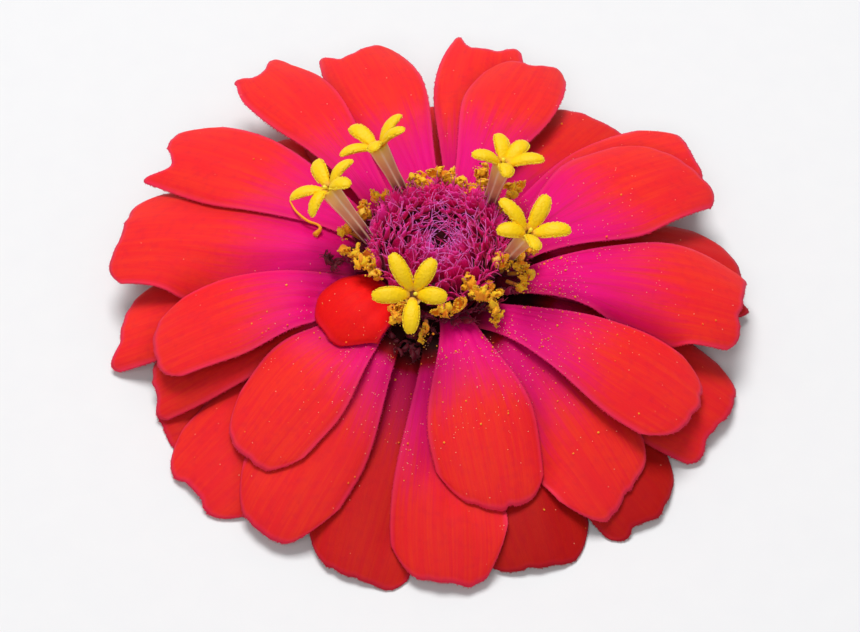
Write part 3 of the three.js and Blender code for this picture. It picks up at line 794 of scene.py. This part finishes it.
floretForm = {
    "footWide": 0.62, "waist": 0.74, "mouthWide": 1.04, "lip": 0.86, "ribs": 6, "ribHeight": 0.08,
    "ribSharpness": 8, "sides": 64,
    "rows": 30, "throatDepth": 0.9, "sink": 0.7, "styleWide": 0.13, "styleLong": 1.3, "styleLean": 0.3,
    "lobeWide": 0.76, "lobeThick": 0.44, "lobeRows": 22, "lobeSides": 18, "lobeStart": 0.45,
    "lobeDrop": 0.25, "bow": 0.95, "lobeNeck": 0.48, "lobeWidest": 0.55, "lobeBluntness": 2.4,
    "beads": 90, "beadSize": (0.06, 0.095), "beadSpan": (0.2, 0.985), "beadScatter": 0.16,
}
openFlorets = [
    {"foot": (-3.9, 7, 13.9), "mouth": (-6.3, 9, 18.6), "lobes": [
        (165, 3.9, 1.25), (115, 3.9, 1.0), (262, 3.8, 1.75), (330, 3.9, 1.0), (50, 3.3, 1.0)]},
    {"foot": (-7.5, 1.1, 13.7), "mouth": (-11.3, 2.9, 19.3), "lobes": [
        (220, 3.9, 1.25), (150, 3.8, 0.3), (85, 3.6, 0), (305, 3.9, 1.0), (350, 3.5, -0.75)]},
    {"foot": (5.3, 5.2, 13.9), "mouth": (6.75, 6.2, 19.2), "lobes": [
        (334, 3.9, 0.5), (285, 3.6, 1.0), (60, 3.6, 0.4), (235, 3.9, 1.4), (142, 3.4, 0.9)]},
    {"foot": (7.1, -1.8, 13.8), "mouth": (9.1, -2.7, 19), "lobes": [
        (75, 4.4, 0.5), (5, 4.0, 1.6), (125, 3.6, 0.1), (300, 4.0, 1.5), (195, 3.6, 3.0)]},
    {"foot": (-2.4, -7, 13.7), "mouth": (-2.5, -10.3, 18.9), "lobes": [
        (120, 4.5, 0.6), (60, 4.0, 0.6), (185, 4.1, 0.6), (355, 3.4, 0.6), (267, 4.0, 0.6)]},
]
lobePaint = {
    "yellow": (255, 210, 0), "gold": (255, 158, 0), "styleAndBeadHighlight": (255, 232, 60), "throat": (206, 130, 100),
    "sheen": (255, 240, 150), "mottle": 1500.0, "grain": 3600.0, "relief": 0.00012,
}
tubePaint = lobePaint | {
    "foot": (122, 40, 58), "middle": (224, 150, 112), "cream": (244, 192, 112), "rib": (252, 224, 190),
    "mottle": 700.0, "grain": 2600.0, "relief": 0.00005,
}


def makeLobeFinish():
    # place = along the lobe, height of the point over its middle, draw; trait = bead, 0, draw.
    lobe = Finish("floretLobe", lobePaint, {
        "Roughness": 0.5, "Specular IOR Level": 0.3, "Sheen Weight": 0.06, "Sheen Roughness": 0.4,
        "Sheen Tint": "sheen", "Subsurface Weight": 0.08, "Subsurface Radius": (1.0, 0.7, 0.1),
        "Subsurface Scale": 0.0006,
    })
    along, height, _ = lobe.read("place")
    bead, _, draw = lobe.read("trait")
    # Orange-gold underneath and yellow on top: painted shade on the underside.
    colour = lobe.coats(
        "gold",
        ((height + (lobe.noise("mottle", 3.0) - 0.5) * 0.5).band(-0.9, 0.4), "yellow"),
        # a painted highlight on the beads
        (bead * (draw * 0.6 + 0.3), "styleAndBeadHighlight"),
        ((1 - along.band(0.0, 0.16)) * 0.5, "throat"))
    return lobe.done(colour, lobe.noise("grain"), 0.9)


def makeTubeFinish():
    # place = share up the tube, rib, 0; trait = inside, style, 0.
    tube = Finish("floretTube", tubePaint, {
        "Roughness": 0.35, "Specular IOR Level": 0.45, "Subsurface Weight": 0.3,
        "Subsurface Radius": (1.0, 0.6, 0.4), "Subsurface Scale": 0.0006,
    })
    up, rib, _ = tube.read("place")
    inside, style, _ = tube.read("trait")
    rise = up + (tube.noise("mottle", 3.0) - 0.5) * 0.2
    colour = tube.coats(
        "foot",
        (rise.band(0.15, 0.5), "middle"),
        (rise.band(0.55, 0.9), "cream"),
        (rib * (0.9 - up * 0.2), "rib"),
        (rise.band(0.88, 1.02) * 0.8, "yellow"),
        (inside, "throat"),
        # the style in its own pale yellow
        (style, "styleAndBeadHighlight"))
    return tube.done(colour, tube.noise("grain"), 0.5)


def makeTube(foot, axis, side, fore, length):
    # A ribbed tube that widens upwards, turns in at its mouth and goes down to a closed throat, and the
    # style that stands in it.
    form = floretForm
    wall, throat = np.linspace(0, 1, form["rows"]), np.linspace(0, 1, 6)[1:]
    radius = form["footWide"] + (form["waist"] - form["footWide"]) * smoothStep(wall, 0, 0.3)
    radius = radius + (form["mouthWide"] - form["waist"]) * smoothStep(wall, 0.35, 1)
    radius = np.concatenate([radius, form["mouthWide"] * (form["lip"] - 0.5 * throat)])
    height = np.concatenate([wall * length, length - form["throatDepth"] * throat ** 1.3])
    up = np.concatenate([wall, 1 - 0.1 * throat])[:, None]
    inside = np.concatenate([0 * wall, throat])[:, None]
    angle = 2 * np.pi * np.arange(form["sides"]) / form["sides"]
    rib = (0.5 + 0.5 * np.cos(form["ribs"] * angle)) ** form["ribSharpness"]
    around = side * np.cos(angle)[:, None] + fore * np.sin(angle)[:, None]
    swell = radius[:, None] + form["ribHeight"] * rib * (1 - inside)
    rings = foot + axis * height[:, None, None] + around * swell[..., None]
    points, faces = ringed(rings, np.array([foot, foot + axis * height[-1]]))
    place = np.concatenate([triple(up, rib, 0), [[0, 0, 0], [0.9, 0, 0]]])
    trait = np.concatenate([triple(inside, 0, 0 * rib), [[0, 0, 0], [1, 0, 0]]])
    step = np.linspace(0, 1, 6)
    rise = length - form["throatDepth"] + form["styleLong"] * step
    line = foot + axis * rise[:, None] + side * (form["styleLean"] * step ** 2)[:, None]
    style, styleFaces, _ = tubes(line[None], form["styleWide"] * (0.8 + 0.9 * bell(step, 0.9, 0.2)), 8)
    return [(points, faces, place, trait), (style, styleFaces, (0.9, 0, 0), (0, 1, 0))]


def makeLobe(mouth, axis, away, reach, rise, random):
    # A fat lobe: its middle line is a quadratic Bezier curve from the mouth that bows up and over, and its
    # section is a flattened ring that is widest at the middle and rounds off at the tip, with beads on its
    # edges.
    form = floretForm
    across = np.cross(axis, away)
    start = mouth + away * form["lobeStart"] - axis * form["lobeDrop"]
    crest = mouth + away * (0.5 * reach) + axis * (0.45 * rise + form["bow"])
    t = (1 - np.cos(np.linspace(0, 1, form["lobeRows"]) * np.pi)) / 2
    t = 0.6 * t + 0.4 * np.linspace(0, 1, form["lobeRows"])
    line = bowed(t[:, None], start, crest, mouth + away * reach + axis * rise)
    swell = np.sin(np.pi / 2 * np.minimum(t / form["lobeWidest"], 1))
    blunt = np.maximum(1 - np.maximum((t - 0.5) / 0.5, 0) ** form["lobeBluntness"], 0.0004) ** 0.5
    size = (form["lobeNeck"] + (1 - form["lobeNeck"]) * swell) * blunt
    up = np.cross(unit(np.gradient(line, axis=0)), across)
    angle = -2 * np.pi * np.arange(form["lobeSides"]) / form["lobeSides"]
    cos, sin = np.cos(angle), np.sin(angle)
    width = form["lobeWide"] * np.sign(cos) * np.abs(cos) ** 0.85
    height = form["lobeThick"] * np.sign(sin) * np.abs(sin) ** 0.9
    ring = across * width[:, None] + up[:, None] * height[:, None]
    points, faces = ringed(line[:, None] + ring * size[:, None, None], line[[0, -1]])
    tone = random.uniform(0, 1)
    place = np.concatenate([triple(t[:, None], sin, tone), [[0, 0, tone], [1, 0, tone]]])
    parts = [(points, faces, place, (0, 0, 0.5))]
    count = form["beads"]
    spot = np.linspace(*form["beadSpan"], count // 2).repeat(2) + random.uniform(-0.01, 0.01, count)
    turn = np.tile([0.0, np.pi], count // 2) + random.normal(0, form["beadScatter"], count)
    edge = across * (form["lobeWide"] * np.cos(turn))[:, None]
    edge = edge + readAt(spot, t, up) * (form["lobeThick"] * np.sin(turn))[:, None]
    centres = readAt(spot, t, line) + (np.interp(spot, t, size)[:, None] * 1.03 + 0.06) * edge
    points, faces, owner = grains(centres, random.uniform(*form["beadSize"], count), random)
    draw = random.uniform(0, 1, count)
    parts.append((points, faces, triple(spot, 0.4, tone)[owner], triple(1, 0, draw)[owner]))
    return parts


def makeOpenFloret(number, floret, lobeFinish, tubeFinish):
    random = np.random.default_rng(100 + number)
    foot, mouth = np.array(floret["foot"], float), np.array(floret["mouth"], float)
    length = np.linalg.norm(mouth - foot) + floretForm["sink"]
    axis = unit(mouth - foot)
    side = unit(np.array([-axis[1], axis[0], 0]))
    fore = np.cross(axis, side)
    tube, lobes = makeTube(mouth - axis * length, axis, side, fore, length), []
    for angle, reach, rise in floret["lobes"]:
        away = side * math.cos(math.radians(angle)) + fore * math.sin(math.radians(angle))
        lobes += makeLobe(mouth, axis, away, reach, rise, random)
    node = "disc_floret_" + str(number)
    makePiece("floret_tube_" + str(number), tube, tubeFinish, [node])
    makePiece("floret_star_" + str(number), lobes, lobeFinish, [node])


lobeFinish = makeLobeFinish()
tubeFinish = makeTubeFinish()
for number, floret in enumerate(openFlorets, 1):
    makeOpenFloret(number, floret, lobeFinish, tubeFinish)
print("open florets are done")


# The withered disc florets round the dome: shrivelled flaps that curl up, with beads on their edges and
# crumbs of old pollen. Each row is a clump: the number of its node, its turn, radius and height, its size,
# and the direction in which it spreads, in degrees.

witheredForm = {
    "flaps": 7, "long": (1.3, 2.3), "wide": (0.7, 1.15), "curl": (90, 230), "fold": 0.7, "crumple": 0.1,
    "twist": 70, "thickness": 0.09, "rows": 14, "columns": 6,
    "spread": 0.9, "scatter": 0.25, "lift": (-0.5, 0.2), "outward": 0.9, "upward": (-0.2, 0.9),
    "beads": 44, "beadSize": (0.045, 0.09), "crumbs": 40, "crumbSize": (0.05, 0.14),
    "crumbScatter": 0.35, "darkShare": 0.15,
    "stalk": 0.22, "stalkFoot": 12.2, "stalkReach": 1.8, "stalkLeast": 6.9,
}
witheredHeads = [
    (1, 168, 9.6, 13.2, 0.8, 60), (2, 193.5, 8.5, 13.7, 1.15, 120), (2, 206, 7.8, 13.8, 1.1, 130),
    (3, 151, 8.9, 13.4, 1, 70), (4, 135, 8.4, 13.4, 0.85, 10), (5, 115, 8.1, 13.2, 0.6, 0),
    (5, 102.5, 8.3, 13.6, 1.15, 130), (6, 86, 8.9, 13.8, 1.1, 150), (6, 76, 8.3, 13.3, 1.1, 150),
    (7, 61, 8.8, 13.6, 1.1, 70), (7, 63, 10.2, 14.3, 0.7, 100), (8, 41, 10.4, 13.6, 0.9, 60),
    (8, 34, 8.4, 13.4, 0.6, 120), (9, 357, 9.1, 13.3, 0.95, 20), (10, 338, 7.5, 13.9, 1.2, 10),
    (10, 339, 9.5, 13.2, 1, 330), (10, 332, 9.7, 12.3, 0.5, 80), (11, 309, 8.8, 13.4, 1.2, 90),
    (11, 306, 10.3, 12.2, 0.5, 90), (12, 299, 7.6, 14.4, 1.3, 130), (13, 277, 8.3, 13.2, 1.1, 20),
    (13, 262, 10.6, 12.2, 0.7, 60), (14, 243, 9.4, 12.7, 1.1, 100),
]
witheredPaint = {
    "ochre": (255, 170, 8), "gold": (255, 206, 24), "brown": (240, 126, 8), "dark": (96, 46, 24),
    "pale": (250, 200, 110), "mottle": 1400.0, "grain": 4200.0, "relief": 0.00012,
}


def makeWitheredFinish():
    # place = bead, 0, draw; trait = dark, hollow side, draw.
    husk = Finish("witheredFloret", witheredPaint, {
        "Roughness": 0.6, "Specular IOR Level": 0.3, "Sheen Weight": 0.1, "Sheen Roughness": 0.5,
        "Subsurface Weight": 0.15, "Subsurface Radius": (1.0, 0.6, 0.2), "Subsurface Scale": 0.0004,
    })
    bead, _, tone = husk.read("place")
    dark, hollow, draw = husk.read("trait")
    mottle = husk.noise("mottle", 3.0)
    colour = husk.coats(
        "brown",
        ((mottle + tone * 0.5).band(0.3, 0.85), "ochre"),
        ((tone - mottle * 0.4).band(0.1, 0.5) * 0.85, "gold"),
        ((bead * draw).band(0.2, 0.8), "gold"),
        ((1 - draw).band(0.88, 0.96) * 0.5, "pale"),
        (hollow * 0.5, "brown"),
        (dark, "dark"))
    return husk.done(colour, husk.noise("grain"), 0.8)


def makeFlap(base, out, up, long, wide, curl, random):
    # A curled strip. Its middle line turns evenly from one direction towards another, its side direction
    # twists along it, its section is a fold, and low waves crumple it. Beads sit on its edges.
    form = witheredForm
    rows, columns = form["rows"], form["columns"]
    t, x = np.linspace(0, 1, rows)[:, None], np.linspace(-1, 1, columns)[None, :]
    angle = math.radians(curl) * t ** 1.3
    ahead = out * np.cos(angle) + up * np.sin(angle)
    normal = up * np.cos(angle) - out * np.sin(angle)
    line = base + (np.cumsum(ahead, axis=0) - ahead[0]) * long / (rows - 1)
    twist = math.radians(random.uniform(-form["twist"], form["twist"])) * t
    side = np.cross(out, up) * np.cos(twist) + normal * np.sin(twist)
    half = wide / 2 * (0.55 + 0.45 * np.sin(np.pi * np.minimum(1.1 * t, 1))) * (1 - 0.2 * t ** 3)
    phase = random.uniform(0, 2 * np.pi, 3)
    lift = form["fold"] * half * x * x
    lift = lift + form["crumple"] * np.sin(9 * t + phase[0]) * np.cos(3 * x + phase[1])
    lift = lift + form["crumple"] * 0.6 * np.sin(17 * t + 4 * x + phase[2])
    sheet = line[:, None] + side[:, None] * (half * x)[..., None] + normal[:, None] * lift[..., None]
    points, faces = thickened(sheet, normal[:, None] * form["thickness"] / 2)
    tone, draw = random.uniform(0, 1, 2)
    hollow = np.repeat([1.0, 0.0], rows * columns)
    parts = [(points, faces, (0, 0, tone), triple(0, hollow, draw))]
    edge = np.concatenate([sheet[2:, 0], sheet[-1, 1:-1], sheet[2:, -1]])
    count = form["beads"]
    centres = edge[random.integers(0, len(edge), count)] + random.normal(0, 0.04, (count, 3))
    points, faces, owner = grains(centres, random.uniform(*form["beadSize"], count), random)
    draw = random.uniform(0, 1, count)
    parts.append((points, faces, triple(1, 0, draw)[owner], triple(0, 0, draw)[owner]))
    return parts


def makeClump(turn, radius, height, size, spread, random):
    # Flaps side by side along one direction, crumbs among them and a stalk that carries them.
    form = witheredForm
    centre = polar(turn, radius, height)
    along, across = polar(spread, 1, 0), polar(spread + 90, 1, 0)
    parts = []
    count = max(2, round(form["flaps"] * size))
    for spot in (np.arange(count) + 0.5) / count * 2 - 1:
        base = centre + along * spot * form["spread"] * size + across * random.normal(0, form["scatter"])
        base = base + polar(0, 0, random.uniform(*form["lift"]))
        side = polar(random.uniform(0, 360), form["outward"], random.uniform(*form["upward"]))
        out = unit(along * spot + side)
        up = squareTo(out, np.array([0, 0, 1]) + random.normal(0, 0.5, 3))
        long, wide, curl = (random.uniform(*form[key]) for key in ("long", "wide", "curl"))
        parts += makeFlap(base, out, up, long * min(size, 1.1), wide, curl, random)
    crumbs = round(form["crumbs"] * size)
    centres = centre + along * (random.uniform(-1, 1, crumbs) * size)[:, None]
    centres = centres + across * random.normal(0, form["crumbScatter"], crumbs)[:, None]
    centres[:, 2] += random.normal(0, form["crumbScatter"], crumbs)
    points, faces, owner = grains(centres, random.uniform(*form["crumbSize"], crumbs), random)
    draw, tone, dark = random.uniform(0, 1, (3, crumbs))
    dark = dark > 1 - form["darkShare"]
    parts.append((points, faces, triple(1, 0, tone)[owner], triple(dark, 0, draw)[owner]))
    foot = polar(turn, max(form["stalkLeast"], radius - form["stalkReach"]), form["stalkFoot"])
    stalk = foot + (centre - foot) * np.linspace(0, 1, 5)[:, None]
    points, faces, _ = tubes(stalk[None], form["stalk"], 8)
    parts.append((points, faces, (0, 0, 0.2), (0.6, 0, 0.5)))
    return parts


def makeWithered(finish):
    for number in sorted({row[0] for row in witheredHeads}):
        random = np.random.default_rng(200 + number)
        clumps = [makeClump(*row[1:], random) for row in witheredHeads if row[0] == number]
        node = "withered_floret_" + str(number)
        makePiece("withered_" + str(number), sum(clumps, []), finish, [node])


witheredFinish = makeWitheredFinish()
makeWithered(witheredFinish)
print("withered florets are done")


# The green cup of bracts under the petals, with the scar where the stem was nipped off

cupForm = {
    "profile": [(0, 0), (2.4, 0), (2.2, 1.5), (3.8, 2.3), (5.6, 3.6), (6.6, 5.2), (6.9, 7), (6.5, 7.5),
                (4.8, 7.5), (4.8, 11), (0, 11)],
    "sides": 72, "thickness": 0.3, "overlap": 1.3, "lift": 0.75, "tip": 0.2, "rows": 14, "columns": 11,
    "scarHeight": 0.3, "coneHeight": (7, 8),
}
bractRows = [
    {"count": 6, "from": 1.4, "to": 3.8, "offset": 0.1, "shift": 0.5},
    {"count": 8, "from": 2.2, "to": 5.1, "offset": 0.15, "shift": 0},
    {"count": 10, "from": 3.4, "to": 6.3, "offset": 0.2, "shift": 0.5},
    {"count": 11, "from": 4.7, "to": 7.1, "offset": 0.25, "shift": 0},
]
cupPaint = {
    "green": (104, 126, 56), "light": (146, 160, 84), "dark": (48, 40, 24), "scar": (176, 178, 120),
    "cone": (84, 12, 26), "grain": 2200.0, "relief": 0.0001,
}


def makeBractFinish():
    # place = along the bract, across it, draw; trait = scar, cone inside the head, draw.
    leaf = Finish("bractGreen", cupPaint, {"Roughness": 0.6, "Specular IOR Level": 0.35})
    along, across, tone = leaf.read("place")
    scar, cone, draw = leaf.read("trait")
    veins = leaf.noise(4.0, 3.0, leaf.vector(across * 6.0, along, draw * 30.0))
    colour = leaf.coats(
        "green",
        ((veins + tone * 0.3).band(0.35, 0.9), "light"),
        ((along + (veins - 0.5) * 0.3).band(0.78, 0.92), "dark"),
        (scar, "scar"),
        # the cone inside the head in dark crimson, partly the colour of its chaff and partly painted shade
        # in the gaps round the dome
        (cone, "cone"))
    return leaf.done(colour, leaf.noise("grain", 3.0) + veins * 0.5, 0.6)


def bractSheet(row, index, random):
    # The middle surface of a bract, which follows the cup's outline and lifts off it towards its round tip.
    form = cupForm
    turn = (index + row["shift"]) * 360 / row["count"]
    halfTurn = 180 / row["count"] * form["overlap"]
    u = np.linspace(0, 1, form["rows"])[:, None]
    v = np.linspace(-1, 1, form["columns"])[None, :]
    s = u * (1 - form["tip"] * v * v - random.uniform(0, 0.05, (1, form["columns"])))
    height = row["from"] + (row["to"] - row["from"]) * s
    width = 0.75 + 0.25 * np.sin(np.pi * np.minimum(s * 1.2, 1)) - 0.35 * s ** 4
    outline = np.array(form["profile"][2:7])
    radius = np.interp(height, outline[:, 1], outline[:, 0]) + row["offset"] + form["lift"] * s
    return polar(turn - v * halfTurn * width, radius, height), s, v


def makeCup(finish):
    form = cupForm
    random = np.random.default_rng(8)
    points, faces = revolved(resampled(form["profile"], 60), form["sides"])
    scar, cone = points[:, 2] < form["scarHeight"], smoothStep(points[:, 2], *form["coneHeight"])
    parts = [(points, faces, (0.2, 0, 0), triple(scar, cone, 0))]
    for row in bractRows:
        for index in range(row["count"]):
            sheet, s, v = bractSheet(row, index, random)
            points, faces = thickened(sheet, normals(sheet) * form["thickness"] / 2)
            tone = random.uniform(0, 1)
            parts.append((points, faces, np.tile(triple(s, v, tone), (2, 1)), (0, 0, tone)))
    makePiece("cup_of_bracts", parts, finish, ["involucre"])


makeCup(makeBractFinish())
print("cup is done")


# Pollen spilt on the petals, a loose style thread that lies on them and dark dry chaff beside the disc

pollenForm = {
    "tries": 60000, "grains": 1150, "small": (0.03, 0.055), "large": (0.065, 0.12), "largeShare": 0.12,
    "sink": 0.4, "nearest": 10, "clusters": 60, "clusterTurn": (-160, 60), "clusterRadius": (11, 24),
    "clusterSize": 1.6, "between": 0.35, "inCluster": 1.5, "frontTurn": -50, "densest": 9, "fade": 10,
    "stray": 0.03, "folded": 0.12,  # how much of it lies on the small folded petal
}
pollenPaint = {"orange": (255, 120, 36), "yellow": (255, 172, 44), "cream": (255, 196, 156)}
threadForm = {
    "path": [(-15.6, 7.2), (-14.9, 5.8), (-13.7, 4.6), (-12.6, 4.1), (-12.3, 3.6), (-12.8, 2.7)],
    "radii": [0.08, 0.12, 0.14, 0.13, 0.2, 0.32], "steps": 26, "smoothings": 6, "sides": 10,
    "lift": 0.12,
}
curlForm = {
    "clumps": [((-10.6, -1.3, 11.9), 7, 0.5), ((-3.2, -9.7, 9.9), 18, 1.1)],  # centre, scales, spread
    "long": (1.2, 2.2), "wide": 0.3, "curl": 3, "stretch": (1, 0.8, 0.15), "leanTo": (-0.3, -0.2, 0.7),
    "dryness": 1.3,
}


def makePollenFinish():
    # place = large, 0, draw.
    dust = Finish("pollen", pollenPaint, {"Roughness": 0.6, "Specular IOR Level": 0.3})
    large, _, tone = dust.read("place")
    colour = dust.mix(tone.band(0.35, 0.7), "orange", "yellow")
    return dust.done(dust.mix((tone - large).band(0.1, 0.3), colour, "cream"))


def makePollen(sheets, top, finish):
    # Grains on random points of the petals that nothing covers: thickest near the disc, in front and in
    # clusters. The first sheet is the small folded petal.
    form = pollenForm
    random = np.random.default_rng(77)
    stack, tries = np.stack(sheets), form["tries"]
    which = random.integers(0, len(sheets), tries)
    row = random.uniform(6, stack.shape[1] - 2, tries)
    column = random.uniform(1, stack.shape[2] - 2, tries)
    i, j = row.astype(int), column.astype(int)
    a, b = (row - i)[:, None], (column - j)[:, None]
    spots = (stack[which, i, j] * (1 - a) * (1 - b) + stack[which, i + 1, j] * a * (1 - b)
             + stack[which, i, j + 1] * (1 - a) * b + stack[which, i + 1, j + 1] * a * b)
    spots[:, 2] += petalForm["thickness"] / 2
    radius, angle = np.hypot(spots[:, 0], spots[:, 1]), np.degrees(np.arctan2(spots[:, 1], spots[:, 0]))
    seen = (spots[:, 2] > top.cells[top.index(spots)] - 0.12) & (radius > form["nearest"])
    front = np.cos(np.radians(angle - form["frontTurn"]))
    weight = np.exp(-(radius - form["densest"]) / form["fade"]) * (0.5 + 0.5 * front) + form["stray"]
    turns, radii = (random.uniform(*form[key], form["clusters"]) for key in ("clusterTurn", "clusterRadius"))
    gap = np.linalg.norm(spots[:, None, :2] - polar(turns, radii, 0)[None, :, :2], axis=-1).min(axis=1)
    weight = weight * (form["between"] + form["inCluster"] * bell(gap, 0, form["clusterSize"]))
    weight = weight * np.where(which == 0, form["folded"], 1)
    chosen = np.flatnonzero(seen & (random.uniform(0, 1, tries) < weight))[:form["grains"]]
    count = len(chosen)
    large = random.uniform(0, 1, count) < form["largeShare"]
    size = np.where(large, *(random.uniform(*form[key], count) for key in ("large", "small")))
    centres = spots[chosen]
    centres[:, 2] += size * (1 - form["sink"])
    points, faces, owner = grains(centres, size, random, 0.35)
    place = triple(large, 0, random.uniform(0, 1, count))[owner]
    makePiece("pollen", [(points, faces, place, (0, 0, 0))], finish, [])


def makeThread(top, finish):
    # The line runs through its points on the petals' top, smoothed, and ends in a club.
    form = threadForm
    spot = np.linspace(-1, 1, form["steps"])
    line = triple(*(throughPoints(values, spot) for values in zip(*form["path"])), 0)
    line[:, 2] = top.grown()[top.index(line)]
    for _ in range(form["smoothings"]):
        line[1:-1, 2] = np.maximum(line[1:-1, 2], (line[:-2, 2] + line[2:, 2]) / 2)
    radii = throughPoints(form["radii"], spot)
    line[:, 2] += form["lift"] + 0.5 * radii
    points, faces, _ = tubes(line[None], radii[None], form["sides"], np.array([[0.0, 0.0, 1.0]]))
    makePiece("style_thread", [(points, faces, (0, 0, 0.4), (0, 0, 0.5))], finish, [])


def makeDarkCurls(finish):
    form = curlForm
    random = np.random.default_rng(31)
    parts = []
    for centre, count, spread in form["clumps"]:
        foot = np.array(centre) + random.normal(0, 1, (count, 3)) * spread * np.array(form["stretch"])
        ahead = unit(random.normal(0, 0.8, (count, 3)) + np.array(form["leanTo"]))
        inward = squareTo(ahead, random.normal(0, 1, (count, 3)))
        full = np.ones(count)
        curl, dry = form["curl"] * full, form["dryness"] * full
        long, wide = random.uniform(*form["long"], count), form["wide"] * random.uniform(0.6, 1.2, count)
        parts += chaffScales(foot, ahead, inward, curl, long, wide, full, dry, random)
    makePiece("dark_curls", parts, finish, [])


makePollen(petalSheets, petalTop, makePollenFinish())
makeThread(petalTop, witheredFinish)
makeDarkCurls(chaffFinish)
print("pollen, thread and dark curls are done")


# Floor, light and camera

viewOfPhoto = {
    "elevation": 54, "distance": 260, "target": (-0.84, -2.9, 5.0), "focalPixels": 2476,
    "imageWidth": 860, "sensor": 36,
}
studio = {
    "floorSize": 3000, "floor": (240, 240, 240), "floorGrain": (237, 237, 238), "grain": 300.0,
    "sky": (250, 250, 255), "skyStrength": 0.22,
    "lamps": [
        {"name": "overhead", "azimuth": 105, "elevation": 68, "distance": 900, "size": 420, "watts": 6.4},
        {"name": "front", "azimuth": 262, "elevation": 52, "distance": 900, "size": 500, "watts": 2.0},
    ],
}


def makeStage():
    size = studio["floorSize"] * mm / 2
    corners = [(x * size, y * size, 0) for x, y in ((-1, -1), (1, -1), (1, 1), (-1, 1))]
    mesh = bpy.data.meshes.new("floor")
    mesh.from_pydata(corners, [], [(0, 1, 2, 3)])
    paper = Finish("floorPaper", studio, {"Roughness": 0.9, "Specular IOR Level": 0.2})
    mesh.materials.append(paper.done(paper.mix(paper.noise("grain"), "floor", "floorGrain")))
    floor = placed("floor", mesh)


def makeLamps():
    world = bpy.data.worlds.new("studio")
    world.use_nodes = True
    sky = world.node_tree.nodes["Background"]
    sky.inputs["Color"].default_value = paint(*studio["sky"])
    sky.inputs["Strength"].default_value = studio["skyStrength"]
    bpy.context.scene.world = world
    for lamp in studio["lamps"]:
        light = bpy.data.lights.new(lamp["name"], "AREA")
        light.size = lamp["size"] * mm
        light.energy = lamp["watts"]
        tilt = math.radians(lamp["elevation"])
        holder = placed(lamp["name"], light)
        flat = lamp["distance"] * math.cos(tilt)
        holder.location = polar(lamp["azimuth"], flat, flat * math.tan(tilt)) * mm
        holder.rotation_euler = (math.radians(90 - lamp["elevation"]), 0, math.radians(lamp["azimuth"] + 90))


def makeCamera():
    view = viewOfPhoto
    tilt = math.radians(view["elevation"])
    lens = bpy.data.cameras.new("camera")
    lens.sensor_width = view["sensor"]
    lens.lens = view["focalPixels"] / view["imageWidth"] * view["sensor"]
    camera = placed("camera", lens)
    x, y, z = view["target"]
    away = view["distance"]
    camera.location = (x * mm, (y - away * math.cos(tilt)) * mm, (z + away * math.sin(tilt)) * mm)
    camera.rotation_euler = (math.pi / 2 - tilt, 0, 0)
    bpy.context.scene.camera = camera


makeStage()
makeLamps()
makeCamera()
bpy.context.scene.view_settings.view_transform = "Standard"
print("floor, light and camera are done")
